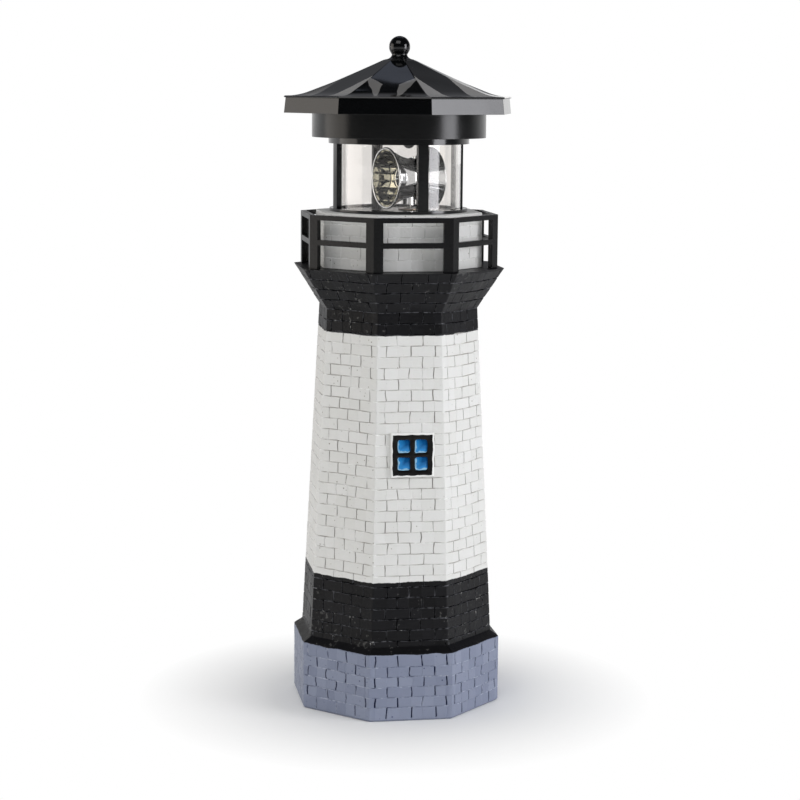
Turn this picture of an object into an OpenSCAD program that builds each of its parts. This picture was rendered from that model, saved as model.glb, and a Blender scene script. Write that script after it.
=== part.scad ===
// Garden lighthouse ornament with a solar lamp whose reflector turns.
// Sizes are in millimetres. The origin is the centre of the plinth's underside,
// +Z is up, and the window is on the -Y face of the octagonal tower.

/* [Tower] */
// Corner radius of the octagonal plinth
plinth_r = 45.2; // [44.4:0.1:48]
// Height of the plinth's upright faces
plinth_h = 28.4; // [20:0.1:40]
// Bevel along the plinth's bottom edge
plinth_bevel = 0.9; // [0.4:0.1:2]
// Rise of the sloped shoulder over the plinth
shoulder_h = 2.2; // [1:0.1:5]
// Corner radius at the foot of the shaft
shaft_foot_r = 41.6; // [38.5:0.1:43.5]
// Corner radius at the top of the shaft
shaft_top_r = 34.2; // [33.6:0.1:37]
// Height of the tapering shaft
shaft_h = 137.8; // [110:0.1:180]
// Height of the flare under the gallery
flare_h = 16.8; // [12:0.1:24]
// Corner radius of the gallery's terrace
terrace_r = 45.4; // [44.6:0.1:50]
// Corner radius of the collar above the terrace
collar_r = 35.7; // [33.6:0.1:36.6]
// Height of the collar
collar_h = 22.8; // [20:0.1:30]
// Wall of the casting, square to its faces
cast_wall = 3.5; // [2.5:0.1:4]

/* [Window] */
// Width of the window frame
window_w = 17; // [12:0.1:22]
// Height of the window frame
window_h = 17.2; // [12:0.1:30]
// Height of the window's centre above the ground
window_z = 110.4; // [60:0.1:140]
// Border of the window frame
window_border = 2.3; // [1.5:0.1:3.5]
// Width of the upright bar between the panes
mullion_w = 1.9; // [1:0.1:3]
// Width of the level bar between the panes
transom_w = 1.6; // [1:0.1:3]
// How far the frame stands out of the wall
window_proud = 1.3; // [0.8:0.1:2.5]
// How deep the panes lie behind the frame's face
pane_depth = 0.9; // [0.4:0.1:1.1]

/* [Gallery railing] */
// Outer corner radius of the railing
rail_r = 42.4; // [41.6:0.1:43.6]
// Height of the railing
rail_h = 22.1; // [16:0.1:28]
// Thickness of the railing's wall
rail_t = 2.2; // [1.8:0.1:2.6]
// Width of each panel's stiles
stile_w = 3.9; // [2.5:0.1:6]
// Depth of the top rail
top_rail_h = 2; // [1.2:0.1:4]
// Depth of the middle rail
mid_rail_h = 2.2; // [1.2:0.1:4]
// Clear height under the middle rail
mid_rail_z = 9.9; // [6:0.1:12]
// Diameter of the pegs under the corner posts
peg_d = 1.6; // [1.2:0.1:1.8]
// Length of the pegs
peg_l = 3; // [2:0.1:5]

/* [Lamp body] */
// Outer radius of the pod that hangs in the collar
pod_r = 27; // [26.6:0.1:28]
// Wall of the pod
pod_wall = 2; // [1.6:0.1:2.4]
// Depth of the pod under the lamp's seat
pod_depth = 40; // [39.4:0.1:50]
// Gap all round between the pod and its socket
socket_gap = 0.8; // [0.4:0.1:1.2]
// Radius of the flange that rests on the collar
flange_r = 28.8; // [28.6:0.1:30]
// Thickness of the flange
flange_t = 1.3; // [1:0.1:2]
// Depth of the ledge's top under the seat
ledge_drop = 1.2; // [0.8:0.1:2]
// Thickness of the ledge
ledge_t = 1.5; // [1:0.1:2.5]
// Inner radius of the ledge
ledge_r = 23.4; // [22.6:0.1:23.8]
// Height of the cage above the seat
cage_h = 30.5; // [29.6:0.1:36]
// Outer radius of the cage's top ring
ring_r = 29.3; // [28.6:0.1:29.6]
// Height of the cage's top ring
ring_h = 2.5; // [1.8:0.1:4]
// Width of a cage post
post_w = 4.4; // [3:0.1:6]
// Outer radius of the cage posts
post_r = 28.2; // [27.8:0.1:28.6]
// Turn of the first cage post away from the window's side
post_turn = 11.7; // [9:0.1:14]

/* [Clear tube] */
// Outer radius of the clear tube
tube_r = 25.9; // [25.8:0.05:26.1]
// Wall of the clear tube
tube_wall = 1.3; // [1:0.05:1.4]
// Gap between the tube and the cage
tube_gap = 0.1; // [0.05:0.05:0.3]
// Thickness of the gasket on the tube's top edge
gasket_t = 1.2; // [0.8:0.1:2]

/* [Cap and roof] */
// Outer radius of the round cap housing
drum_r = 36.2; // [35.8:0.1:38]
// Height of the cap housing
drum_h = 9.9; // [9:0.1:14]
// Wall of the cap housing
drum_wall = 1.8; // [1.2:0.1:2.2]
// Corner radius of the roof cover's lip
lip_r = 49; // [48.4:0.1:50]
// How far the fascia's upper edge lies inside the lip's corners
fascia_inset = 0.8; // [0.4:0.1:1.2]
// How far the fascia's lower edge stands out from its upper one
fascia_splay = 0.7; // [0:0.1:1.2]
// Height of the fascia
fascia_h = 6.2; // [5.4:0.1:9]
// Thickness of the fascia and of the eave's floor
eave_wall = 1.8; // [1.2:0.1:2.2]
// Thickness of the roof cover's lip
lip_t = 0.8; // [0.6:0.1:1.4]
// Slope of the roof's straight faces along its ridges, in degrees
roof_slope = 24.3; // [22:0.1:26]
// Length of the bell-cast curve at the eave
bell_l = 14; // [10:0.1:16]
// Thickness of the roof cover
cover_t = 1.6; // [1.2:0.1:2]
// Corner radius of the roof's flat crown
crown_r = 6.6; // [5.4:0.1:8]
// Turn of the roof against the tower, in degrees
roof_turn = -16.4; // [-18:0.1:-15]
// Side of the square solar panel
panel_side = 46; // [43:0.1:48]
// Thickness of the solar panel
panel_t = 2; // [1.5:0.1:2.4]
// Height of the posts that carry the solar panel
panel_post_h = 2.3; // [1.5:0.1:2.6]

/* [Finial] */
// Radius of the ball
ball_r = 4.4; // [3:0.1:6]
// Height of the ball's centre above the roof's crown
ball_rise = 5.3; // [5:0.02:8]
// Radius of the neck under the ball
neck_r = 3.2; // [2.2:0.1:4]
// Height of the flared foot of the neck
neck_foot_h = 2; // [1:0.1:3]
// Radius of the spigot glued into the roof
spigot_r = 1.9; // [1.2:0.1:2.5]

/* [Rotor] */
// Distance of the rotor's axis from the lamp's axis, towards +X
rotor_offset = 4.2; // [3.8:0.1:4.8]
// Height of the reflectors' axis above the seat
beam_h = 13.6; // [13.4:0.1:14.6]
// Turn of the rotor at rest, in degrees
rotor_turn = 18.7; // [0:0.1:40]
// Radius of a reflector's rim
cup_r = 11.9; // [9:0.1:12.1]
// Radius of a reflector's throat
throat_r = 4.2; // [4:0.1:4.6]
// Distance of a reflector's throat from the rotor's axis
throat_x = 4.2; // [4:0.1:5]
// Depth of a reflector
cup_depth = 6.3; // [5:0.1:7]
// Wall of a reflector
cup_wall = 0.9; // [0.7:0.1:1.2]
// Radius of the spindle
spindle_r = 1.75; // [1.5:0.05:2]
// Radius of the rotor's waist, midway between the reflectors
hub_r = 8.3; // [7.8:0.1:8.5]
// How late the rotor's horn widens from the waist to the rims
horn_bend = 1.6; // [1.3:0.1:2]
// Height of the boss under the neck
hub_boss_h = 3; // [2:0.1:3.6]

/* [Gears] */
// Gear module
gear_m = 0.5; // [0.48:0.01:0.52]
// Teeth of the pinions
pinion_teeth = 10; // [10:1:11]
// Teeth of the large gears
wheel_teeth = 32; // [30:1:32]
// Extra centre distance for running play
gear_play = 0.1; // [0.05:0.01:0.15]
// Face width of the gears
gear_w = 1.8; // [1.4:0.1:2]
// Direction of the idler seen from the spindle, in degrees
idler_dir = 125; // [120:1:130]
// Direction of the motor seen from the idler, in degrees
motor_dir = 200; // [196:1:204]
// Running gap around shafts
run_gap = 0.05; // [0.02:0.01:0.08]

/* [Drive] */
// Thickness of the motor deck
deck_t = 1.6; // [1.2:0.1:2]
// Depth of the gear bracket's top under the deck
bracket_drop = 7.3; // [6.9:0.1:8]
// Radius of the gear bracket
bracket_r = 20.5; // [20:0.1:20.9]
// Thickness of the gear bracket
bracket_t = 1.5; // [1.2:0.1:2]
// Radius of the motor
motor_r = 7.5; // [6:0.1:8]
// Length of the motor
motor_l = 13.8; // [11:0.1:14]
// Radius of the motor's shaft
shaft_r = 0.75; // [0.6:0.05:0.9]

/* [Base and battery] */
// Thickness of the base cover
base_t = 2.2; // [2:0.1:2.6]
// Gap between the base cover and the pod's wall
base_gap = 0.15; // [0.1:0.05:0.3]
// Diameter of the rechargeable cell
cell_d = 10.2; // [9.6:0.1:10.4]
// Length of the rechargeable cell
cell_l = 29.5; // [27:0.1:30]
// Distance of the cell's axis in front of the lamp's axis
cell_y = 7; // [6.8:0.1:7.4]
// Length of the contact spring when the cell is in
spring_l = 2.4; // [2:0.1:3]
// Thickness of the contact plates
contact_t = 0.4; // [0.3:0.05:0.5]
// Thickness of the battery door
door_t = 1.1; // [0.9:0.1:1.2]
// Gap around the battery door
door_gap = 0.15; // [0.1:0.05:0.25]
// Travel of the slide switch
switch_travel = 2.4; // [1.5:0.1:3]

/* [Fasteners] */
// Shank radius of the long self-tapping screws
screw_r = 0.9; // [0.8:0.05:1]
// Head radius of the long self-tapping screws
head_r = 1.8; // [1.6:0.05:1.9]
// Height of a pan head
head_h = 1; // [0.8:0.1:1.1]
// Gap between a screw and its hole
screw_gap = 0.08; // [0.05:0.01:0.1]
// Radius of the insulated wires
wire_r = 0.55; // [0.4:0.05:0.6]

/* [Hidden] */
$fn = 64;

// Colours as the photograph shows them
resin_white = "#dcdcd8";
satin_black = "#1d1d1f";
gloss_black = "#101012";
chrome_grey = "#c9ccd0";

// Angle from an octagon's face centre to its corner, and the ratio of flat to corner radius
half_face = 22.5;
flat = cos(half_face);
// Depth by which a cut passes through a face
cut = 1;

// Heights of the tower
shaft_z = plinth_h + shoulder_h;
flare_z = shaft_z + shaft_h;
terrace_z = flare_z + flare_h;
seat_z = terrace_z + collar_h;
shaft_taper = (shaft_foot_r - shaft_top_r) / shaft_h;
face_lean = atan(shaft_taper * flat);
socket_r = pod_r + socket_gap;
pod_z = seat_z - pod_depth;
cavity_z = pod_z - 4;

// Heights and radii of the lamp body
pod_in_r = pod_r - pod_wall;
ledge_z = seat_z - ledge_drop;
cage_z = seat_z + cage_h;
ring_z = cage_z - ring_h;
pocket_r = tube_r + tube_gap;
post_dirs = [for (k = [0:3]) post_turn - 90 + 90 * k];
cage_screw_r = (pocket_r + post_r) / 2;
cage_screw_l = 6.5;
boss_r = 2.6;
boss_ring_r = pod_in_r - 3.5;
boss_web = 2.4;
boss_h = 8;
cover_boss_dirs = [25, 155, 270];
deck_boss_dirs = [60, 180, 300];

// Clear tube
tube_in_r = tube_r - tube_wall;
tube_top_z = cage_z - gasket_t;

// Cap and roof
fascia_top_r = lip_r - fascia_inset;
fascia_low_r = fascia_top_r + fascia_splay;
drum_z = cage_z;
eave_z = drum_z + drum_h;
cover_z = eave_z + fascia_h;
lip_z = cover_z + lip_t;
bell_r = lip_r - 2.4;
slope_r = bell_r - bell_l;
bell_steps = 7;
crown_z = lip_z + tan(roof_slope) * (bell_l / 2 + slope_r - crown_r);
cover_in_r = bell_r - 0.7 * bell_l;
ball_z = crown_z + ball_rise;
spigot_l = cover_t + 1.4;
cap_boss_r = 2.4;
cap_screw_ring = drum_r - drum_wall - cap_boss_r - 0.4;
cap_screw_dirs = [for (k = [0:3]) roof_turn + 45 + 90 * k];
cap_screw_l = drum_h + eave_wall + panel_post_h - 1.5;
panel_z = eave_z + eave_wall + panel_post_h;
board_t = 1.2;
led_r = 2.5;
led_dome_z = cage_z - 4.7;
led_flange_z = led_dome_z + 7.6;
led_board_z = led_flange_z + 1;
led_board_l = 18;
led_board_w = 14;
standoff_r = 1.4;
standoff_x = 7;

// Rotor
beam_z = seat_z + beam_h;
hub_l = throat_x - 0.2;
bore_r = throat_r - 0.6;
well_r = led_r + 0.6;
hub_boss_r = spindle_r + 1.1;
hub_boss_z = beam_z - hub_r - hub_boss_h;
fit_gap = 0.02;
bead_r = 0.5;
cup_steps = 10;
hub_steps = 3;
// Focal factor of the parabola from throat to rim
parabola = (cup_r * cup_r - throat_r * throat_r) / cup_depth;

// Gear train: the motor's pinion drives the idler's wheel, and its pinion the spindle's wheel
pinion_pitch_r = gear_m * pinion_teeth / 2;
wheel_pitch_r = gear_m * wheel_teeth / 2;
gear_centres = pinion_pitch_r + wheel_pitch_r + gear_play;
spindle_x = rotor_offset;
idler_x = spindle_x + gear_centres * cos(idler_dir);
idler_y = gear_centres * sin(idler_dir);
motor_x = idler_x + gear_centres * cos(motor_dir);
motor_y = idler_y + gear_centres * sin(motor_dir);
deck_z = ledge_z;
deck_top_z = deck_z + deck_t;
thrust_gap = 0.1;
// How far the bush stands out under the deck
bush_drop = 0.6;
bracket_top_z = deck_z - bracket_drop;
bracket_z = bracket_top_z - bracket_t;
low_gear_z = bracket_top_z + 1.4;
high_gear_z = low_gear_z + gear_w + 0.8;
wheel_boss_h = deck_z - bush_drop - thrust_gap - high_gear_z - gear_w;
pillar_r = 2.2;
pillar_spots = [[10.5, -11.5], [-9, -12], [12.5, 11.5]];
bush_r = 3.2;
bush_flange_r = 4.2;
bush_flange_t = 0.5;
motor_screw_r = 0.7;
motor_screw_head_r = 1.3;
motor_screw_head_h = 0.7;
motor_screw_spread = 4.6;
motor_boss_r = 2.5;
motor_z = bracket_z - motor_l;
shaft_in = 6;

// Base cover and battery bay
base_top_z = pod_z + base_t;
base_r = pod_in_r - base_gap;
pocket_t = door_t + 0.1;
cell_z = pod_z + pocket_t + 0.3 + cell_d / 2;
bay_half = (cell_l + spring_l + 2 * contact_t) / 2;
cell_x = bay_half - contact_t - cell_l / 2;
bay_w = cell_d + 0.6;
bay_wall = 1;
bay_h = 9;
door_x0 = -bay_half - 1.2;
door_x1 = bay_half + 3.6;
door_w = cell_d + 2.2;
door_screw_x = bay_half + 1.9;
door_boss_r = 1.8;
door_boss_h = 5;
small_screw_r = 0.7;
small_head_r = 1.2;
small_head_h = 0.6;
door_screw_l = 4.2;
contact_w = 9;
contact_h = 11;

// Control board and slide switch
board_x = -1;
board_y = 11.2;
board_l = 24;
board_w = 11.5;
switch_x = 2;
switch_l = switch_travel + 6.2;
switch_w = 4;
switch_h = 3.4;
board_z = base_top_z + switch_h + 0.4;
stem_l = 1.8;
stem_w = 1.6;
knob_l = 2.6;
knob_w = 2;
knob_gap = 0.2;
knob_out = 1.1;
stake_x = 10;
stake_y = 15.2;
stake_r = 0.7;
chip_l = 5;
chip_w = 4;
chip_h = 1.6;
capacitor_r = 2.2;
capacitor_h = 4.5;

// Wires, with their bends set by hand
wire_dir = post_dirs[2];
wire_ring_r = tube_in_r - wire_r - 0.1;
wire_x = wire_ring_r * cos(wire_dir);
wire_y = wire_ring_r * sin(wire_dir);
wire_hole_r = wire_r + 0.35;
wire_bend = 1.2;
// How far a wire stands up from a board or a contact before it turns
wire_rise = 1.4;
// Height above the control board at which the lamp's wire turns inwards
wire_turn_h = 5;
// A direction that no wire runs along, from which the wires' rings are set out
wire_aside = [0.83, 0.31, 0.47];
panel_lead_x = 6;
panel_lead_y = -5;

// Octagonal solid lofted through [corner radius, height] rings, faces square to X and Y
module octagon_loft(rings) {
    count = len(rings);
    corners = [for (ring = rings) for (k = [0:7])
        [ring[0] * cos(half_face + 45 * k), ring[0] * sin(half_face + 45 * k), ring[1]]];
    sides = [for (i = [0:count - 2]) for (k = [0:7])
        [8 * i + k, 8 * (i + 1) + k, 8 * (i + 1) + (k + 1) % 8, 8 * i + (k + 1) % 8]];
    bottom = [for (k = [0:7]) k];
    top = [for (k = [7:-1:0]) 8 * (count - 1) + k];
    polyhedron(points = corners, faces = concat([bottom], sides, [top]));
}

// Upright octagonal prism
module octagon_prism(r, z, h) {
    translate([0, 0, z])
    rotate([0, 0, half_face])
    cylinder(r = r, h = h, $fn = 8);
}

// Round tube
module ring(r_out, r_in, z, h) {
    translate([0, 0, z])
    difference() {
        cylinder(r = r_out, h = h);
        translate([0, 0, -cut]) cylinder(r = r_in, h = h + 2 * cut);
    }
}

// Round bar from height z
module bar(r, z, h) {
    translate([0, 0, z]) cylinder(r = r, h = h);
}

// Children copied around the axis at a radius
module around(dirs, r) {
    for (dir = dirs) rotate([0, 0, dir]) translate([r, 0, 0]) children();
}

// Pan-head screw, head on the -Z side, seat of the head at z = 0
module pan_screw(shank_r, shank_l, cap_r, cap_h) {
    difference() {
        union() {
            cylinder(r = shank_r, h = shank_l);
            translate([0, 0, -cap_h]) cylinder(r = cap_r, h = cap_h);
        }
        translate([-cap_r * 0.6, -0.2, -cap_h - cut]) cube([cap_r * 1.2, 0.4, cut + cap_h / 2]);
        translate([-0.2, -cap_r * 0.6, -cap_h - cut]) cube([0.4, cap_r * 1.2, cut + cap_h / 2]);
    }
}

// Countersunk screw pointing down, its flat head level with z = 0
module sunk_screw(shank_r, shank_l, cap_r) {
    difference() {
        union() {
            translate([0, 0, -shank_l]) cylinder(r = shank_r, h = shank_l);
            translate([0, 0, shank_r - cap_r]) cylinder(r1 = shank_r, r2 = cap_r, h = cap_r - shank_r);
        }
        translate([-cap_r * 0.6, -0.2, -0.4]) cube([cap_r * 1.2, 0.4, cut]);
        translate([-0.2, -cap_r * 0.6, -0.4]) cube([0.4, cap_r * 1.2, cut]);
    }
}

// Clearance for a countersunk screw
module sunk_hole(shank_r, shank_l, cap_r) {
    union() {
        translate([0, 0, -shank_l]) cylinder(r = shank_r + screw_gap, h = shank_l + cut);
        translate([0, 0, shank_r - cap_r - screw_gap])
        cylinder(r1 = shank_r, r2 = cap_r + screw_gap, h = cap_r - shank_r + screw_gap);
        translate([0, 0, -fit_gap]) cylinder(r = cap_r + screw_gap, h = cut);
    }
}

// Insulated wire swept along a path whose corners are eased into short curves
module wire(path) {
    sides = 8;
    line = eased(path);
    last = len(line) - 1;
    rings = [for (i = [0:last]) let (
            ahead = line[min(i + 1, last)] - line[max(i - 1, 0)],
            across = unit(cross(ahead, wire_aside)),
            over = unit(cross(across, ahead)))
        for (k = [0:sides - 1])
            line[i] + wire_r * (cos(360 * k / sides) * across + sin(360 * k / sides) * over)];
    skin = [for (i = [0:last - 1]) for (k = [0:sides - 1])
        [sides * i + k, sides * i + (k + 1) % sides,
            sides * (i + 1) + (k + 1) % sides, sides * (i + 1) + k]];
    start_cap = [for (k = [sides - 1:-1:0]) k];
    end_cap = [for (k = [0:sides - 1]) sides * last + k];
    polyhedron(points = rings, faces = concat([start_cap], skin, [end_cap]));
}

function unit(v) = v / norm(v);

// A path with each corner replaced by a curve that starts wire_bend before it
function eased(path) = concat([path[0]],
    [for (i = [1:1:len(path) - 2]) let (
            from = path[i] + wire_bend * unit(path[i - 1] - path[i]),
            to = path[i] + wire_bend * unit(path[i + 1] - path[i]))
        for (t = [0:0.25:1]) (1 - t) * (1 - t) * from + 2 * t * (1 - t) * path[i] + t * t * to],
    [path[len(path) - 1]]);

// Spur gear outline with slightly thinned teeth, a tooth centred on +X
module gear_outline(teeth) {
    pitch_r = gear_m * teeth / 2;
    tip_r = pitch_r + 0.85 * gear_m;
    root_r = pitch_r - 1.15 * gear_m;
    step = 360 / teeth;
    polygon([for (k = [0:teeth - 1]) for (corner = [[root_r, -0.3], [pitch_r, -0.21], [tip_r, -0.1],
        [tip_r, 0.1], [pitch_r, 0.21], [root_r, 0.3]])
        corner[0] * [cos(step * (k + corner[1])), sin(step * (k + corner[1]))]]);
}

// Spur gear turned so that a tooth, or a gap, points along dir
module gear(teeth, z, h, dir, gap) {
    translate([0, 0, z])
    rotate([0, 0, dir + (gap ? 180 / teeth : 0)])
    linear_extrude(height = h)
    gear_outline(teeth);
}

// Distance of the shaft's face from the axis at a height
function face_at(z) = (shaft_foot_r - shaft_taper * (z - shaft_z)) * flat;

module window_relief() {
    root = 1.5;
    pane_w = (window_w - 2 * window_border - mullion_w) / 2;
    pane_h = (window_h - 2 * window_border - transom_w) / 2;
    translate([0, -face_at(window_z), window_z])
    rotate([90 - face_lean, 0, 0])
    difference() {
        translate([-window_w / 2, -window_h / 2, -root]) cube([window_w, window_h, root + window_proud]);
        for (x = [-window_w / 2 + window_border, mullion_w / 2])
            for (y = [-window_h / 2 + window_border, transom_w / 2])
                translate([x, y, window_proud - pane_depth]) cube([pane_w, pane_h, pane_depth + cut]);
    }
}

module tower_casting() {
    cavity_foot_r = shaft_foot_r + shaft_taper * (shaft_z + cut) - cast_wall / flat;
    cavity_top_r = shaft_top_r + shaft_taper * (flare_z - cavity_z) - cast_wall / flat;
    color(resin_white)
    difference() {
        union() {
            octagon_loft([[plinth_r - plinth_bevel, 0], [plinth_r, plinth_bevel], [plinth_r, plinth_h],
                [shaft_foot_r, shaft_z], [shaft_top_r, flare_z], [terrace_r, terrace_z],
                [collar_r, terrace_z], [collar_r, seat_z]]);
            window_relief();
        }
        octagon_loft([[cavity_foot_r, -cut], [cavity_top_r, cavity_z]]);
        bar(socket_r, cavity_z - cut, seat_z - cavity_z + 2 * cut);
        around([for (k = [0:7]) half_face + 45 * k], rail_r - rail_t / flat / 2)
            bar(peg_d / 2 + screw_gap, terrace_z - peg_l - screw_gap, peg_l + cut);
    }
}

module gallery_railing() {
    open_w = 2 * rail_r * sin(half_face) - 2 * stile_w;
    reach = rail_t + 2;
    color(satin_black) {
        difference() {
            octagon_prism(rail_r, terrace_z, rail_h);
            octagon_prism(rail_r - rail_t / flat, terrace_z - cut, rail_h + 2 * cut);
            around([for (k = [0:7]) 45 * k], rail_r * flat - reach) {
                translate([0, -open_w / 2, terrace_z - cut])
                cube([reach + cut, open_w, mid_rail_z + cut]);
                translate([0, -open_w / 2, terrace_z + mid_rail_z + mid_rail_h])
                cube([reach + cut, open_w, rail_h - top_rail_h - mid_rail_z - mid_rail_h]);
            }
        }
        around([for (k = [0:7]) half_face + 45 * k], rail_r - rail_t / flat / 2)
            bar(peg_d / 2, terrace_z - peg_l, peg_l + 1);
    }
}

module finial_ball() {
    foot_r = crown_r * flat;
    bend = foot_r - neck_r;
    color(satin_black) {
        translate([0, 0, ball_z]) sphere(r = ball_r);
        bar(neck_r, crown_z, ball_rise);
        translate([0, 0, crown_z])
        rotate_extrude()
        polygon(concat([[0, 0]], [for (i = [0:6])
            [neck_r + bend * (1 - sin(15 * i)), neck_foot_h * (1 - cos(15 * i))]],
            [[0, neck_foot_h]]));
        bar(spigot_r, crown_z - spigot_l, spigot_l + 1);
    }
}

module roof_cover() {
    color(gloss_black)
    rotate([0, 0, roof_turn])
    difference() {
        octagon_loft(concat(
            [[lip_r - lip_t / 2, cover_z], [lip_r, lip_z - lip_t / 4], [lip_r - lip_t / 4, lip_z]],
            [for (i = [0:bell_steps]) [bell_r - bell_l * i / bell_steps,
                lip_z + tan(roof_slope) * pow(bell_l * i / bell_steps, 2) / (2 * bell_l)]],
            [[crown_r, crown_z]]));
        octagon_loft([[cover_in_r, cover_z - cut], [cover_in_r, cover_z + lip_t / 4],
            [crown_r, crown_z - cover_t]]);
        bar(spigot_r + screw_gap, crown_z - 2 * cover_t, 2 * cover_t + cut);
    }
}

module solar_panel() {
    color("#1b2a4a")
    rotate([0, 0, roof_turn])
    translate([-panel_side / 2, -panel_side / 2, panel_z]) cube([panel_side, panel_side, panel_t]);
}

module eave_frame() {
    color(gloss_black)
    difference() {
        union() {
            rotate([0, 0, roof_turn])
            difference() {
                octagon_loft([[fascia_low_r, eave_z], [fascia_top_r, cover_z]]);
                octagon_prism(fascia_top_r - eave_wall / flat, eave_z + eave_wall, fascia_h);
            }
            around(cap_screw_dirs, cap_screw_ring)
                bar(boss_r, eave_z + cut, eave_wall + panel_post_h - cut);
        }
        around(cap_screw_dirs, cap_screw_ring)
            bar(screw_r + screw_gap, eave_z - cut, eave_wall + panel_post_h + cut - 0.6);
        translate([panel_lead_x, panel_lead_y, 0]) bar(wire_hole_r, eave_z - cut, eave_wall + 2 * cut);
    }
}

module cap_housing() {
    color(gloss_black)
    difference() {
        union() {
            difference() {
                bar(drum_r, drum_z, drum_h);
                bar(drum_r - drum_wall, drum_z + drum_wall, drum_h);
            }
            around(cap_screw_dirs, cap_screw_ring) bar(cap_boss_r, drum_z + cut, drum_h - cut);
            for (side = [-1, 1])
                translate([spindle_x + side * standoff_x, 0, 0])
                bar(standoff_r, drum_z + cut, led_board_z - drum_z - cut);
        }
        around(cap_screw_dirs, cap_screw_ring) {
            bar(screw_r + screw_gap, drum_z - cut, drum_h + 2 * cut);
            bar(head_r + screw_gap, drum_z - cut, cut + head_h);
        }
        around(post_dirs, cage_screw_r) bar(small_screw_r + screw_gap, drum_z - cut, drum_wall + 2 * cut);
        translate([spindle_x, 0, 0]) bar(led_r + screw_gap, drum_z - cut, drum_wall + 2 * cut);
        translate([wire_x, wire_y, 0]) bar(wire_hole_r, drum_z - cut, drum_wall + 2 * cut);
    }
}

module cap_screws() {
    color(chrome_grey)
    around(cap_screw_dirs, cap_screw_ring)
        translate([0, 0, drum_z + head_h]) pan_screw(screw_r, cap_screw_l - head_h, head_r, head_h);
}

module cage_screws() {
    color(chrome_grey)
    around(post_dirs, cage_screw_r)
        translate([0, 0, drum_z + drum_wall])
        mirror([0, 0, 1])
        pan_screw(small_screw_r, cage_screw_l, small_head_r, small_head_h);
}

module led_board() {
    color("#2f6b3a")
    difference() {
        translate([spindle_x - led_board_l / 2, -led_board_w / 2, led_board_z])
        cube([led_board_l, led_board_w, board_t]);
        for (side = [-1, 1])
            translate([spindle_x + side * 1.27, 0, 0]) bar(0.4, led_board_z - cut, board_t + 2 * cut);
    }
}

module led_lamp() {
    color("#d8dde0")
    translate([spindle_x, 0, 0]) {
        translate([0, 0, led_dome_z + led_r]) sphere(r = led_r);
        bar(led_r, led_dome_z + led_r, led_flange_z - led_dome_z - led_r + 0.5);
        bar(led_r + 0.4, led_flange_z, led_board_z - led_flange_z);
        for (side = [-1, 1]) translate([side * 1.27, 0, 0]) bar(0.25, led_board_z - 0.5, board_t + 1.3);
    }
}

module tube_gasket() {
    color("#303030")
    ring(tube_r, tube_in_r, tube_top_z, gasket_t);
}

module clear_tube() {
    color("#dfe8ec", 0.35)
    ring(tube_r, tube_in_r, ledge_z, tube_top_z - ledge_z);
}

// Screw boss with a web to the pod's wall
module wall_boss(z, h) {
    bar(boss_r, z, h);
    translate([0, -boss_web / 2, z]) cube([pod_in_r + 0.5 - boss_ring_r, boss_web, h]);
}

module lamp_body() {
    color(gloss_black)
    difference() {
        union() {
            ring(pod_r, pod_in_r, pod_z, seat_z + flange_t - pod_z);
            ring(flange_r, pod_in_r, seat_z, flange_t);
            ring(pod_r - 0.5, ledge_r, ledge_z - ledge_t, ledge_t);
            ring(ring_r, pod_in_r, ring_z, ring_h);
            for (dir = post_dirs)
                rotate([0, 0, dir])
                intersection() {
                    ring(post_r, pod_in_r, seat_z + flange_t / 2, ring_z - seat_z);
                    translate([0, -post_w / 2, seat_z]) cube([post_r + cut, post_w, cage_h]);
                }
            around(cover_boss_dirs, boss_ring_r) wall_boss(base_top_z, boss_h);
            around(deck_boss_dirs, boss_ring_r) wall_boss(ledge_z - boss_h + 1, boss_h - 1);
        }
        bar(pocket_r, ledge_z, cage_h + ledge_drop + cut);
        around(cover_boss_dirs, boss_ring_r) bar(screw_r + screw_gap, base_top_z - cut, boss_h);
        around(deck_boss_dirs, boss_ring_r) bar(screw_r + screw_gap, ledge_z - boss_h + 2, boss_h);
        around(post_dirs, cage_screw_r)
            bar(small_screw_r + screw_gap, cage_z - cage_screw_l + drum_wall - 0.5, cage_screw_l);
        translate([wire_x, wire_y, 0]) bar(wire_hole_r, ledge_z - ledge_t - cut, ledge_t + 2 * cut);
    }
}

module motor_deck() {
    color("#26262a")
    difference() {
        bar(tube_in_r - 0.2, deck_z, deck_t);
        translate([spindle_x, 0, 0]) bar(bush_r + fit_gap, deck_z - cut, deck_t + 2 * cut);
        translate([idler_x, idler_y, 0]) bar(shaft_r + run_gap, deck_z - cut, deck_t + 2 * cut);
        translate([wire_x, wire_y, 0]) bar(wire_hole_r, deck_z - cut, deck_t + 2 * cut);
        translate([0, 0, deck_top_z]) {
            around(deck_boss_dirs, boss_ring_r) sunk_hole(screw_r, deck_t + cut, head_r);
            for (spot = pillar_spots) translate(spot) sunk_hole(screw_r, deck_t + cut, head_r);
        }
    }
}

module deck_screws() {
    color(chrome_grey)
    translate([0, 0, deck_top_z])
    around(deck_boss_dirs, boss_ring_r) sunk_screw(screw_r, deck_t + boss_h - 3, head_r);
}

module bracket_screws() {
    color(chrome_grey)
    for (spot = pillar_spots)
        translate([spot[0], spot[1], deck_top_z]) sunk_screw(screw_r, deck_t + bracket_drop - 2, head_r);
}

module spindle_bush() {
    color("#b08d57")
    translate([spindle_x, 0, 0])
    difference() {
        union() {
            bar(bush_r, deck_z - bush_drop, deck_t + bush_drop);
            bar(bush_flange_r, deck_top_z, bush_flange_t);
        }
        bar(spindle_r + run_gap, deck_z - bush_drop - cut, deck_t + bush_drop + bush_flange_t + 2 * cut);
    }
}

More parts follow.
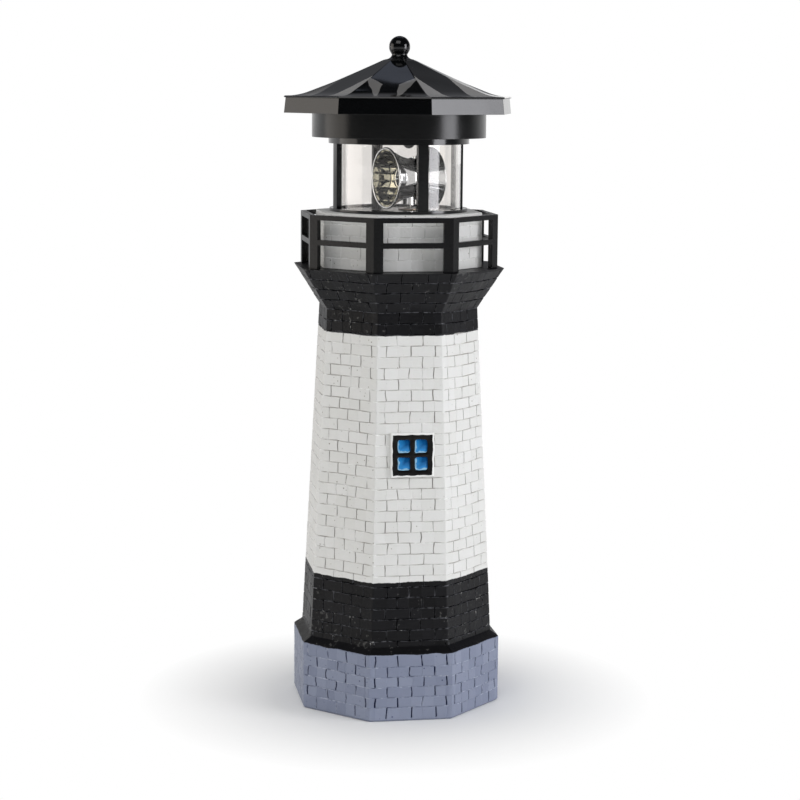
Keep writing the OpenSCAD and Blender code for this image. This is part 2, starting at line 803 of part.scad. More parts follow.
module gear_bracket() {
    color("#e8e6df")
    difference() {
        union() {
            bar(bracket_r, bracket_z, bracket_t);
            for (spot = pillar_spots)
                translate(spot) bar(pillar_r, bracket_z + bracket_t / 2, bracket_drop + bracket_t / 2);
        }
        for (spot = pillar_spots)
            translate(spot) bar(screw_r + screw_gap, bracket_top_z + cut, bracket_drop);
        translate([idler_x, idler_y, 0]) bar(shaft_r + run_gap, bracket_z - cut, bracket_t + 2 * cut);
        translate([motor_x, motor_y, 0]) {
            bar(motor_boss_r + run_gap, bracket_z - cut, bracket_t + 2 * cut);
            around([0, 180], motor_screw_spread)
                bar(motor_screw_r + screw_gap, bracket_z - cut, bracket_t + 2 * cut);
        }
    }
}

module idler_pin() {
    color(chrome_grey)
    translate([idler_x, idler_y, 0]) bar(shaft_r, bracket_z, deck_top_z - bracket_z);
}

module drive_motor() {
    color("#a9adb1")
    translate([motor_x, motor_y, 0])
    difference() {
        union() {
            bar(motor_r, motor_z, motor_l);
            bar(motor_boss_r, bracket_z - cut, bracket_t + cut - 0.3);
        }
        bar(shaft_r + run_gap, bracket_z - shaft_in - cut, shaft_in + bracket_t + 2 * cut);
        around([0, 180], motor_screw_spread) bar(motor_screw_r + screw_gap, bracket_z - 3, 3 + cut);
    }
}

module motor_screws() {
    color(chrome_grey)
    translate([motor_x, motor_y, bracket_top_z])
    around([0, 180], motor_screw_spread)
        mirror([0, 0, 1])
        pan_screw(motor_screw_r, bracket_t + 2.5, motor_screw_head_r, motor_screw_head_h);
}

module spindle() {
    color(chrome_grey)
    translate([spindle_x, 0, 0]) bar(spindle_r, bracket_top_z + thrust_gap,
        hub_boss_z + hub_boss_h - bracket_top_z - thrust_gap);
}

module spindle_gear() {
    color("#efe9d8")
    translate([spindle_x, 0, 0])
    difference() {
        union() {
            gear(wheel_teeth, high_gear_z, gear_w, idler_dir, true);
            bar(spindle_r + 1.5, high_gear_z + gear_w / 2, gear_w / 2 + wheel_boss_h);
        }
        bar(spindle_r + fit_gap, bracket_top_z, bracket_drop);
    }
}

// Outer radius of the rotor's horn at a distance from its waist
function horn_r(x) = hub_r + (cup_r + cup_wall - hub_r) * pow(x / (throat_x + cup_depth), horn_bend);

module rotor_hub() {
    color(chrome_grey)
    translate([spindle_x, 0, 0])
    difference() {
        union() {
            translate([0, 0, beam_z])
            rotate([0, 90, rotor_turn])
            rotate_extrude()
            polygon(concat([[0, -hub_l]],
                [for (i = [-hub_steps:hub_steps])
                    [horn_r(abs(hub_l * i / hub_steps)), hub_l * i / hub_steps]],
                [[0, hub_l]]));
            bar(hub_boss_r, hub_boss_z, hub_boss_h + 1);
        }
        translate([0, 0, beam_z])
        rotate([0, 0, rotor_turn])
        difference() {
            union() {
                rotate([0, 90, 0]) cylinder(r = bore_r, h = 2 * hub_l + 2 * cut, center = true);
                cylinder(r = well_r, h = hub_r + cut);
            }
            // Two mirror faces at 45 degrees that throw the light into both reflectors
            translate([0, hub_r, -bore_r])
            rotate([90, 0, 0])
            linear_extrude(height = 2 * hub_r)
            polygon([[-hub_l - 2, -2], [hub_l + 2, -2], [bore_r - 0.5, 0.5], [0, bore_r],
                [0.5 - bore_r, 0.5]]);
        }
        bar(spindle_r + fit_gap, hub_boss_z - cut, hub_boss_h + cut + fit_gap);
    }
}

// Parabolic cup along +X with a rolled rim, its back a part of the rotor's horn
module reflector() {
    inner = [for (i = [0:cup_steps])
        let (x = cup_depth * i / cup_steps) [sqrt(throat_r * throat_r + parabola * x), throat_x + x]];
    outer = [for (i = [cup_steps:-1:1]) [horn_r(inner[i][1]), inner[i][1]]];
    rotate([0, 90, 0]) {
        rotate_extrude()
        polygon(concat([[bore_r, hub_l + fit_gap], [bore_r, throat_x]], inner, outer,
            [[horn_r(hub_l + fit_gap), hub_l + fit_gap]]));
        rotate_extrude()
        translate([cup_r + cup_wall / 2, throat_x + cup_depth]) circle(r = bead_r, $fn = 24);
    }
}

module reflector_front() {
    color(chrome_grey)
    translate([spindle_x, 0, beam_z]) rotate([0, 0, rotor_turn + 180]) reflector();
}

module reflector_rear() {
    color(chrome_grey)
    translate([spindle_x, 0, beam_z]) rotate([0, 0, rotor_turn]) reflector();
}

module idler_gear() {
    color("#efe9d8")
    translate([idler_x, idler_y, 0])
    difference() {
        union() {
            gear(wheel_teeth, low_gear_z, gear_w, motor_dir, true);
            gear(pinion_teeth, low_gear_z + gear_w / 2, high_gear_z - low_gear_z + gear_w / 2,
                idler_dir + 180, false);
        }
        bar(shaft_r + run_gap, bracket_z, bracket_drop + bracket_t);
    }
}

module motor_pinion() {
    color("#b08d57")
    translate([motor_x, motor_y, 0]) {
        gear(pinion_teeth, low_gear_z, gear_w + 0.4, motor_dir + 180, false);
        bar(shaft_r, bracket_z - shaft_in, low_gear_z + gear_w - bracket_z + shaft_in + 0.8);
    }
}

module control_board() {
    color("#2f6b3a")
    difference() {
        union() {
            translate([board_x - board_l / 2, board_y - board_w / 2, board_z])
            cube([board_l, board_w, board_t]);
            translate([board_x - 0.4 * chip_l, board_y - 1.1 * chip_w, board_z + board_t / 2])
            cube([chip_l, chip_w, board_t / 2 + chip_h]);
            translate([board_x + 3 * capacitor_r, board_y + 0.7 * capacitor_r, 0])
            bar(capacitor_r, board_z + board_t / 2, board_t / 2 + capacitor_h);
        }
        for (side = [-1, 1])
            translate([board_x + side * stake_x, stake_y, 0])
            bar(stake_r + screw_gap, board_z - cut, board_t + 2 * cut);
    }
}

module switch_body() {
    color("#8f9398")
    difference() {
        translate([switch_x - switch_l / 2, board_y - switch_w / 2, board_z - switch_h])
        cube([switch_l, switch_w, switch_h]);
        translate([switch_x - knob_l / 2 - knob_gap, board_y - knob_w / 2 - knob_gap / 2,
            board_z - switch_h - cut])
        cube([knob_l + switch_travel + 2 * knob_gap, knob_w + knob_gap, cut + switch_h - 1]);
    }
}

module switch_knob() {
    color(satin_black) {
        translate([switch_x - knob_l / 2, board_y - knob_w / 2, board_z - switch_h + knob_gap])
        cube([knob_l, knob_w, switch_h - 1 - 2 * knob_gap]);
        translate([switch_x - stem_l / 2, board_y - stem_w / 2, pod_z - knob_out])
        cube([stem_l, stem_w, board_z - switch_h - pod_z + knob_out + 1]);
    }
}

module base_cover() {
    color(gloss_black)
    difference() {
        union() {
            bar(base_r, pod_z, base_t);
            // Walls of the battery bay
            translate([0, -cell_y, pod_z + cut])
            difference() {
                translate([-bay_half - bay_wall, -bay_w / 2 - bay_wall, 0])
                cube([2 * (bay_half + bay_wall), bay_w + 2 * bay_wall, bay_h]);
                translate([-bay_half, -bay_w / 2, -cut]) cube([2 * bay_half, bay_w, bay_h + 2 * cut]);
            }
            translate([door_screw_x, -cell_y, 0]) bar(door_boss_r, pod_z + cut, door_boss_h);
            // Stakes under the control board
            for (side = [-1, 1])
                translate([board_x + side * stake_x, stake_y, 0]) {
                    bar(1.5, pod_z + cut, board_z - pod_z - cut);
                    bar(stake_r, pod_z + cut, board_z + board_t + 0.6 - pod_z - cut);
                }
        }
        // Pocket for the door, and the opening that the cell goes through
        translate([door_x0 - door_gap, -cell_y - door_w / 2 - door_gap, pod_z - cut])
        cube([door_x1 - door_x0 + 2 * door_gap, door_w + 2 * door_gap, cut + pocket_t]);
        translate([-bay_half + 1, -cell_y - bay_w / 2, pod_z])
            cube([2 * bay_half - 1.4, bay_w, base_t + cut]);
        translate([door_screw_x, -cell_y, 0]) bar(small_screw_r + screw_gap, pod_z, door_boss_h);
        around(cover_boss_dirs, boss_ring_r) {
            bar(screw_r + screw_gap, pod_z - cut, base_t + 2 * cut);
            bar(head_r + screw_gap, pod_z - cut, cut + head_h);
        }
        // Slot for the switch
        translate([switch_x - stem_l / 2 - knob_gap, board_y - stem_w / 2 - knob_gap, pod_z - cut])
        cube([stem_l + switch_travel + 2 * knob_gap, stem_w + 2 * knob_gap, base_t + 2 * cut]);
    }
}

module cover_screws() {
    color(chrome_grey)
    around(cover_boss_dirs, boss_ring_r)
        translate([0, 0, pod_z + head_h])
        pan_screw(screw_r, base_t - head_h + boss_h - 2, head_r, head_h);
}

module battery_cell() {
    color("#3b7d4f")
    translate([cell_x, -cell_y, cell_z])
    rotate([0, 90, 0]) {
        translate([0, 0, -cell_l / 2]) cylinder(r = cell_d / 2, h = cell_l - 1);
        cylinder(r = cell_d / 5, h = cell_l / 2);
    }
}

module battery_spring() {
    color(chrome_grey)
    translate([-bay_half, -cell_y, 0]) {
        translate([0, -contact_w / 2, base_top_z]) cube([contact_t, contact_w, contact_h]);
        translate([contact_t / 2, 0, cell_z])
        rotate([0, 90, 0])
        cylinder(r1 = 3.6, r2 = 2.2, h = spring_l + contact_t / 2 - fit_gap);
    }
}

module battery_contact() {
    color(chrome_grey)
    translate([bay_half - contact_t, -cell_y - contact_w / 2, base_top_z])
    cube([contact_t, contact_w, contact_h]);
}

module battery_door() {
    color(satin_black)
    difference() {
        translate([door_x0, -cell_y - door_w / 2, pod_z]) cube([door_x1 - door_x0, door_w, door_t]);
        translate([door_screw_x, -cell_y, 0]) {
            bar(small_screw_r + screw_gap, pod_z - cut, door_t + 2 * cut);
            bar(small_head_r + screw_gap, pod_z - cut, cut + door_t / 2);
        }
    }
}

module door_screw() {
    color(chrome_grey)
    translate([door_screw_x, -cell_y, pod_z + door_t / 2])
    pan_screw(small_screw_r, door_screw_l, small_head_r, door_t / 2);
}

module panel_lead() {
    color("#b5332b")
    wire([[panel_lead_x, panel_lead_y, panel_z], [panel_lead_x, panel_lead_y, led_board_z + board_t]]);
}

module lamp_lead() {
    run_z = led_board_z + board_t + wire_rise;
    low_z = board_z + board_t + wire_turn_h;
    color("#b5332b")
    wire([[spindle_x - 4, led_board_w / 2 - 2, led_board_z + board_t],
        [spindle_x - 4, led_board_w / 2 - 2, run_z],
        [wire_x, wire_y, run_z],
        [wire_x, wire_y, low_z],
        [wire_x, board_y + 1, low_z],
        [wire_x, board_y + 1, board_z + board_t]]);
}

module motor_lead() {
    color("#b5332b")
    wire([[motor_x + 1.5, board_y - 2.5, motor_z], [motor_x + 1.5, board_y - 2.5, board_z + board_t]]);
}

module battery_leads() {
    top_z = base_top_z + contact_h;
    run_z = top_z + wire_rise;
    plate_x = bay_half - contact_t / 2;
    color("#303234") {
        wire([[plate_x, -cell_y, top_z], [plate_x, -cell_y, run_z],
            [board_x + 10, board_y - 3.5, run_z], [board_x + 10, board_y - 3.5, board_z + board_t]]);
        wire([[-plate_x, -cell_y, top_z], [-plate_x, -cell_y, run_z],
            [board_x - 8, board_y - 4, run_z], [board_x - 8, board_y - 4, board_z + board_t]]);
    }
}

tower_casting();
gallery_railing();
finial_ball();
roof_cover();
solar_panel();
eave_frame();
cap_housing();
cap_screws();
cage_screws();
led_board();
led_lamp();
tube_gasket();
clear_tube();
lamp_body();
motor_deck();
deck_screws();
bracket_screws();
spindle_bush();
gear_bracket();
idler_pin();
drive_motor();
motor_screws();
spindle();
spindle_gear();
rotor_hub();
reflector_front();
reflector_rear();
idler_gear();
motor_pinion();
control_board();
switch_body();
switch_knob();
base_cover();
cover_screws();
battery_cell();
battery_spring();
battery_contact();
battery_door();
door_screw();
panel_lead();
lamp_lead();
motor_lead();
battery_leads();
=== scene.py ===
"""Looks of a garden lighthouse with a solar lamp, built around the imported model.

Lengths are in metres, and the front, with the window, faces -Y.
"""
import math

import bmesh
import bpy
import numpy as np
from mathutils import Matrix, Vector, noise


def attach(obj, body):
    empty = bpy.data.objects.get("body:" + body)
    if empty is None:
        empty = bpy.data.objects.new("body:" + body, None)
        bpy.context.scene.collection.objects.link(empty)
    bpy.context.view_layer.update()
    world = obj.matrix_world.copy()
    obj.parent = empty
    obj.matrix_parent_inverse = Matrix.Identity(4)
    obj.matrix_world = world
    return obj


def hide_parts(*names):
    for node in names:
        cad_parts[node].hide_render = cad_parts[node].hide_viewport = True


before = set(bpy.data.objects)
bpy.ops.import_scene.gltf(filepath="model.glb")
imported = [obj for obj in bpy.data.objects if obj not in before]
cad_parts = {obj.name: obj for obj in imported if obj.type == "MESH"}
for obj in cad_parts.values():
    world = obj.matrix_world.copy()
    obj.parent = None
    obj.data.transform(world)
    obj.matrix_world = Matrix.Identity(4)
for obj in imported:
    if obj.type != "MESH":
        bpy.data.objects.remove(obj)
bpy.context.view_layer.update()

MM = 0.001

HALF_FACE = math.radians(22.5)
FLAT = math.cos(HALF_FACE)

# The casting, as the model has it: corner radius and height of its octagons, in millimetres
PLINTH_R, PLINTH_TOP = 45.2, 28.4
PLINTH_BEVEL = 0.9
SHAFT_FOOT_R, SHAFT_FOOT = 41.6, 30.6
SHAFT_TOP_R, SHAFT_TOP = 34.2, 168.4
TERRACE_R, TERRACE = 45.4, 185.2
COLLAR_R, COLLAR_TOP = 35.7, 208.0
SOCKET_R, SOCKET_FOOT = 27.8, 164.0
CAVITY_TOP_R, CAVITY_FOOT_R = 30.6, 39.4

# Brickwork, in millimetres
PLINTH_COURSE, SHAFT_COURSE, FLARE_COURSE, COLLAR_COURSE = 4.3, 4.51, 4.2, 4.56
BRICK = 10.0
JOINT_EDGE, JOINT_FLOOR = 0.3, 0.1
# Across a joint: the place from its middle, and its share of the depth
JOINT_STEPS = ((-JOINT_EDGE, 0), (-JOINT_FLOOR, 1), (JOINT_FLOOR, 1), (JOINT_EDGE, 0))
# The joints are cut deeper on the grey plinth and on the two black parts
JOINT_DEPTH, COARSE_DEPTH = 0.42, 0.567
CORNER_ROUND = 0.7
# How much a brick stands out, a joint is off its place and a bed wavers, as in any hand-cut mould
BRICK_LIFT, JOINT_SHIFT, BED_WAVER = 0.2, 1.3, 0.22
# How far the beds bow on each face from the front one round to its left, and how rough each face is
BOWS = (0.1, -0.45, 0.2, -0.2, 0.15, 0.25, -0.15, 0.2)
ROUGHNESS = (0.25, 0.4, 0.7, 0.3, 0.6, 0.5, 0.8, 1.0)

# Where one paint ends and the next starts, in millimetres above the ground
PLINTH_LINE, BAND_LINE, NECK_LINE = 28.2, 57.6, 159.0

# The window's middle and size, its frame and bars, and how far it stands out, in millimetres
WINDOW_X, WINDOW_Z, WINDOW_W, WINDOW_H = 0.9, 110.4, 18.0, 18.2
WINDOW_BORDER, MULLION, TRANSOM = 2.8, 1.9, 1.6
WINDOW_PROUD, PANE_DEPTH = 1.3, 0.9

# Roof and finial, in millimetres
ROOF_TURN, ROOF_SLOPE = -16.4, 23.06
LIP_R, COVER_Z, LIP_Z = 49.0, 254.6, 255.4
BELL_R, BELL_L, CROWN_R = 46.6, 10.0, 6.6
COVER_IN_R, COVER_T = 36.8, 1.6
# The ridges stand up a little where the bell-cast starts, and each slope sags between its ends
FOLD_RISE, FOLD_R, FOLD_REACH, SLOPE_SAG = 0.35, 38, 9, 0.15
CROWN_Z = LIP_Z + math.tan(math.radians(ROOF_SLOPE)) * (BELL_R - BELL_L / 2 - CROWN_R)
BALL_R, BALL_RISE = 4.4, 5.3

# The drum's lower edge, in millimetres
DRUM_R, DRUM_FOOT = 36.2, 238.5

# Rotor, in millimetres and degrees
SPINDLE_X, BEAM_Z, ROTOR_TURN = 4.2, 221.6, 18.7
CUP_R, CUP_WALL, CUP_DEPTH = 11.9, 0.9, 6.3
THROAT_R, THROAT_X = 4.2, 4.2
HUB_R, HORN_BEND = 8.3, 1.6
FACET_HIGH, FACET_WIDE, FACET_RISE = 2.8, 4.0, 0.26
CUP_RINGS, CUP_SPOKES = 46, 288

# Clear tube, in millimetres
TUBE_R, TUBE_WALL, TUBE_Z, TUBE_TOP = 25.9, 1.3, 206.8, 237.3


# ---------------------------------------------------------------- tools

def linear(code):
    """An sRGB hex colour as linear RGBA."""
    parts = [int(code[i:i + 2], 16) / 255 for i in (1, 3, 5)]
    return [p / 12.92 if p <= 0.04045 else ((p + 0.055) / 1.055) ** 2.4 for p in parts] + [1]


def feed(node, inputs):
    """Fills inputs with numbers, hex colours, outputs, or nodes, which give their first output."""
    for name, value in inputs.items():
        if isinstance(value, bpy.types.Node):
            value = next(output for output in value.outputs if output.enabled)
        if isinstance(value, bpy.types.NodeSocket):
            node.id_data.links.new(value, node.inputs[name])
        else:
            node.inputs[name].default_value = linear(value) if isinstance(value, str) else value


def add(tree, kind, inputs=None, **settings):
    """Adds a node to a shader tree, with its settings and its inputs."""
    made = tree.nodes.new("ShaderNode" + kind)
    for name, value in settings.items():
        setattr(made, name, value)
    feed(made, inputs or {})
    return made


def new_material(name, **shader):
    """A material with one Principled shader, and the nodes' coordinates in metres."""
    material = bpy.data.materials.new(name)
    material.use_nodes = True
    tree = material.node_tree
    surface = tree.nodes["Principled BSDF"]
    feed(surface, {socket.replace("_", " "): value for socket, value in shader.items()})
    place = add(tree, "TexCoord").outputs["Object"]
    return material, tree, surface, place


def new_piece(name, points, faces, body, material):
    """A mesh piece that rides on a body."""
    mesh = bpy.data.meshes.new(name)
    mesh.from_pydata([tuple(p) for p in points], [], [tuple(f) for f in faces])
    mesh.update()
    mesh.materials.append(material)
    mesh.shade_smooth()
    piece = bpy.data.objects.new(name, mesh)
    bpy.context.scene.collection.objects.link(piece)
    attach(piece, body)
    return piece


def mark(mesh, **layers):
    """Gives a mesh's points a number for each layer, which its material reads by name."""
    for name, values in layers.items():
        mesh.attributes.new(name, "FLOAT", "POINT").data.foreach_set("value", values)


def face_ways(face, turned=0):
    """The way out of one face of an octagon, and the way along it; face 0 is the front."""
    turn = math.radians(-90 + 45 * face + turned)
    outward = Vector((math.cos(turn), math.sin(turn), 0))
    return outward, Vector((-outward.y, outward.x, 0))


def grid_faces(rows, columns, closed_rows=False):
    """Quads of a grid whose columns run round a ring, and whose rows may too."""
    return [(r * columns + c, r * columns + (c + 1) % columns,
             (r + 1) % rows * columns + (c + 1) % columns, (r + 1) % rows * columns + c)
            for r in range(rows if closed_rows else rows - 1) for c in range(columns)]


def evaluated(piece):
    """Applies a piece's modifiers to its mesh."""
    graph = bpy.context.evaluated_depsgraph_get()
    mesh = bpy.data.meshes.new_from_object(piece.evaluated_get(graph))
    piece.modifiers.clear()
    piece.data = mesh


def softened(node, edge, body, material, rolled=None):
    """A copy of a model node with its edges rounded, as moulded plastic has them.

    edge is the rounding in metres. rolled names one round edge by [radius, height] in
    millimetres, which is rounded four times as much.
    """
    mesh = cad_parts[node].data.copy()
    mesh.materials.clear()
    mesh.materials.append(material)
    work = bmesh.new()
    work.from_mesh(mesh)
    bmesh.ops.remove_doubles(work, verts=work.verts, dist=0.002 * MM)
    bmesh.ops.dissolve_limit(work, angle_limit=math.radians(0.6), verts=work.verts, edges=work.edges)
    weight = work.edges.layers.float.new("bevel_weight_edge")
    for line in work.edges:
        if len(line.link_faces) == 2 and line.calc_face_angle(0) > math.radians(30):
            line[weight] = 0.25
            ends = [(math.hypot(p.co.x, p.co.y) / MM, p.co.z / MM) for p in line.verts]
            if rolled and all(math.dist(end, rolled) < 0.1 for end in ends):
                line[weight] = 1.0
    work.to_mesh(mesh)
    work.free()
    for name in [a.name for a in mesh.attributes if a.name.startswith("custom")]:
        mesh.attributes.remove(mesh.attributes[name])
    piece = bpy.data.objects.new(node + "_moulding", mesh)
    bpy.context.scene.collection.objects.link(piece)
    bevel = piece.modifiers.new("edges", "BEVEL")
    bevel.width = edge * 4
    bevel.segments = 3
    bevel.limit_method = "WEIGHT"
    bevel.harden_normals = True
    mesh.shade_smooth()
    mesh.set_sharp_from_angle(angle=math.radians(30))
    evaluated(piece)
    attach(piece, body)
    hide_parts(node)


def lathe(name, profile, body, material, sides=96, closed=False):
    """A turned piece from [radius, height] points in millimetres; a closed one has a bore."""
    points = [(r * math.cos(2 * math.pi * k / sides) * MM, r * math.sin(2 * math.pi * k / sides) * MM, z * MM)
              for r, z in profile for k in range(sides)]
    faces = grid_faces(len(profile), sides, closed_rows=closed)
    if not closed:
        faces.append(tuple(reversed(range(sides))))
        faces.append(tuple(range((len(profile) - 1) * sides, len(profile) * sides)))
    return new_piece(name, points, faces, body, material)


# ---------------------------------------------------------------- materials

def specks(tree, place, spacing, size, share):
    """Marks of a given size in millimetres, one in some of the cells of a loose grid: 1 on a mark."""
    cells = add(tree, "TexVoronoi", {"Vector": place, "Scale": 1 / (spacing * MM), "Randomness": 1.0})
    near = add(tree, "MapRange", {"Value": cells.outputs["Distance"], "From Min": 1.25 * size / spacing,
                                  "From Max": 0.75 * size / spacing})
    chosen = add(tree, "SeparateColor", {"Color": cells.outputs["Color"]}).outputs["Red"]
    chosen = add(tree, "Math", {0: chosen, 1: share}, operation="LESS_THAN")
    return add(tree, "Math", {0: near, 1: chosen}, operation="MULTIPLY")


def painted_resin():
    """Cast polyresin, brushed with satin enamel: pinholes, chips, pooled joints and painted arris highlights.
    """
    material, tree, surface, place = new_material("painted_cast_resin", Roughness=0.4, IOR=1.3)
    height = add(tree, "SeparateXYZ", {"Vector": place}).outputs["Z"]
    sway, fray, mottle = (
        add(tree, "TexNoise", {"Vector": place, "Scale": 1 / (size * MM), "Detail": detail})
        for size, detail in ((8, 1.0), (1.5, 2.0), (0.9, 3.0)))
    bed, perp, tone, rough = (add(tree, "Attribute", attribute_name=name).outputs["Fac"]
                              for name in ("bed", "perp", "tone", "rough"))
    pits = specks(tree, place, 2.6, 0.32, 0.07)
    many_pits = specks(tree, place, 1.4, 0.25, 0.16)
    many_pits = add(tree, "Math", {0: many_pits, 1: rough}, operation="MULTIPLY")
    pits = add(tree, "Math", {0: pits, 1: many_pits}, operation="MAXIMUM")
    # Painted highlight on the arris of a brick, in patches: the first part of the way down into a joint
    deep = add(tree, "Math", {0: bed, 1: perp}, operation="MAXIMUM")
    rise = add(tree, "MapRange", {"Value": deep, "From Min": 0.03, "From Max": 0.15})
    fall = add(tree, "MapRange", {"Value": deep, "From Min": 0.65, "From Max": 0.35})
    arris = add(tree, "Math", {0: rise, 1: fall}, operation="MULTIPLY")
    arris_highlight_mask = add(tree, "Math", {0: rough, 1: 0.14, 2: fray}, operation="MULTIPLY_ADD")
    arris_highlight_mask = add(tree, "MapRange", {"Value": arris_highlight_mask, "From Min": 0.5, "From Max": 0.66})
    arris_highlight_mask = add(tree, "Math", {0: arris, 1: arris_highlight_mask}, operation="MULTIPLY")
    # On the black bricks a painted grey highlight covers most of the arris beside the joint
    wear_and_highlight = add(tree, "MapRange", {"Value": fray, "From Min": 0.36, "From Max": 0.58, "To Max": 0.85})
    wear_and_highlight = add(tree, "Math", {0: arris, 1: wear_and_highlight}, operation="MULTIPLY")
    # Chips on the arrises of the black bricks
    chips = add(tree, "Math", {0: sway, 1: 0.5, 2: fray}, operation="MULTIPLY_ADD")
    chips = add(tree, "Math", {0: rough, 1: 0.1, 2: chips}, operation="MULTIPLY_ADD")
    chips = add(tree, "MapRange", {"Value": chips, "From Min": 0.99, "From Max": 1.03})
    near_arris = add(tree, "MapRange", {"Value": deep, "From Min": 0.0, "From Max": 0.1, "To Min": 0.12})
    chips = add(tree, "Math", {0: chips, 1: near_arris}, operation="MULTIPLY")

    bed_pool = add(tree, "MapRange", {"Value": bed, "From Min": 0.3, "From Max": 0.9})
    bed_pool = add(tree, "Math", {0: bed_pool, 1: fray}, operation="MULTIPLY")
    bed_pool = add(tree, "Math", {0: bed_pool, 1: 1.7}, operation="MULTIPLY", use_clamp=True)
    perp_pool = add(tree, "MapRange", {"Value": perp, "From Min": 0.25, "From Max": 0.7})
    coats = []
    # Each coat: its tones, a painted highlight on the arrises, its flecks, and its dark joints
    for light, dark, in_bed, in_perp, arris_highlight, highlight_mask, fleck, flecks in (
            ("#8990a3", "#7d8498", "#596180", "#1a2240", "#a3a9ba", arris_highlight_mask, "#4d5573", pits),
            ("#0b0b0d", "#131316", "#030304", "#020203", "#696a6e", wear_and_highlight, "#b4b3af", chips),
            ("#e0e0dd", "#dbdbd7", "#b0ada8", "#98948f", "#eeeeec", arris_highlight_mask, "#9d9990", pits)):
        colour = add(tree, "Mix", {"Factor": tone, "A": light, "B": dark}, data_type="RGBA")
        for level, over in ((highlight_mask, arris_highlight), (flecks, fleck), (bed_pool, in_bed), (perp_pool, in_perp)):
            colour = add(tree, "Mix", {"Factor": level, "A": colour, "B": over}, data_type="RGBA")
        coats.append(colour)
    grey, black, white = coats

    swing = add(tree, "Math", {0: sway, 1: 1.1 * MM}, operation="MULTIPLY")
    swing = add(tree, "Math", {0: fray, 1: 0.5 * MM, 2: swing}, operation="MULTIPLY_ADD")
    brush = add(tree, "Math", {0: height, 1: swing}, operation="ADD")
    drift = 0.8 * MM
    colour = grey
    for line, upper in ((PLINTH_LINE, black), (BAND_LINE, white), (NECK_LINE, black)):
        level = add(tree, "MapRange", {"Value": brush, "From Min": line * MM + drift - 0.08 * MM,
                                       "From Max": line * MM + drift + 0.08 * MM})
        colour = add(tree, "Mix", {"Factor": level, "A": colour, "B": upper}, data_type="RGBA")
    level = add(tree, "MapRange", {"Value": height, "From Min": (TERRACE + 0.1) * MM,
                                   "From Max": (TERRACE + 0.35) * MM})
    colour = add(tree, "Mix", {"Factor": level, "A": colour, "B": white}, data_type="RGBA")
    # Dark grey blotches on the collar's top
    dark_blotch = add(tree, "TexNoise", {"Vector": place, "Scale": 1 / (5 * MM), "Detail": 3.0})
    dark_blotch = add(tree, "MapRange", {"Value": dark_blotch, "From Min": 0.54, "From Max": 0.7, "To Max": 0.4})
    on_top = add(tree, "Math", {0: height, 1: (COLLAR_TOP - 0.12) * MM}, operation="GREATER_THAN")
    level = add(tree, "Math", {0: dark_blotch, 1: on_top}, operation="MULTIPLY")
    colour = add(tree, "Mix", {"Factor": level, "A": colour, "B": "#3c3b3a"}, data_type="RGBA")

    gloss = add(tree, "MapRange", {"Value": sway, "To Min": 0.3, "To Max": 0.5})
    # A joint holds little of the sheen its bricks have
    sheen = add(tree, "MapRange", {"Value": deep, "From Min": 0.25, "From Max": 0.7,
                                   "To Min": 0.5, "To Max": 0.08})
    relief = add(tree, "Math", {0: fray, 1: 2.4, 2: mottle}, operation="MULTIPLY_ADD")
    dents = add(tree, "Math", {0: mottle, 1: rough}, operation="MULTIPLY")
    relief = add(tree, "Math", {0: dents, 1: 3.0, 2: relief}, operation="MULTIPLY_ADD")
    relief = add(tree, "Math", {0: pits, 1: -2.5, 2: relief}, operation="MULTIPLY_ADD")
    bump = add(tree, "Bump", {"Height": relief, "Strength": 0.6, "Distance": 0.08 * MM})
    feed(surface, {"Base Color": colour, "Roughness": gloss, "Specular IOR Level": sheen, "Normal": bump})
    return material


def window_enamel():
    """Gloss enamel laid on by hand: blue panes with a painted highlight along two sides, the bars are
    black-brown.
    """
    material, tree, surface, place = new_material("hand_painted_window_enamel", Roughness=0.22, IOR=1.35)
    glaze, pool = (add(tree, "Attribute", attribute_name=name).outputs["Fac"] for name in ("glaze", "pool"))
    stroke = add(tree, "TexNoise", {"Vector": place, "Scale": 1 / (1.6 * MM), "Detail": 2.0})
    # Painted highlight: each pane grows lighter toward its left and lower edges
    pane_light = add(tree, "Math", {0: stroke, 1: 0.3, 2: pool}, operation="MULTIPLY_ADD")
    body = add(tree, "MapRange", {"Value": pane_light, "From Min": 0.2, "From Max": 0.9})
    blue = add(tree, "Mix", {"Factor": body, "A": "#0a4a80", "B": "#2a86c8"}, data_type="RGBA")
    rim = add(tree, "MapRange", {"Value": pane_light, "From Min": 0.93, "From Max": 1.05})
    blue = add(tree, "Mix", {"Factor": rim, "A": blue, "B": "#a9d4ea"}, data_type="RGBA")
    bars = add(tree, "Mix", {"Factor": stroke, "A": "#050404", "B": "#100d0c"}, data_type="RGBA")
    level = add(tree, "MapRange", {"Value": glaze, "From Min": 0.45, "From Max": 0.55})
    colour = add(tree, "Mix", {"Factor": level, "A": bars, "B": blue}, data_type="RGBA")
    level = add(tree, "MapRange", {"Value": glaze, "From Min": -0.35, "From Max": -0.5})
    colour = add(tree, "Mix", {"Factor": level, "A": colour, "B": "#ecece9"}, data_type="RGBA")
    gloss = add(tree, "MapRange", {"Value": glaze, "To Min": 0.3, "To Max": 0.12})
    bump = add(tree, "Bump", {"Height": stroke, "Strength": 0.5, "Distance": 0.15 * MM})
    feed(surface, {"Base Color": colour, "Roughness": gloss, "Normal": bump})
    return material


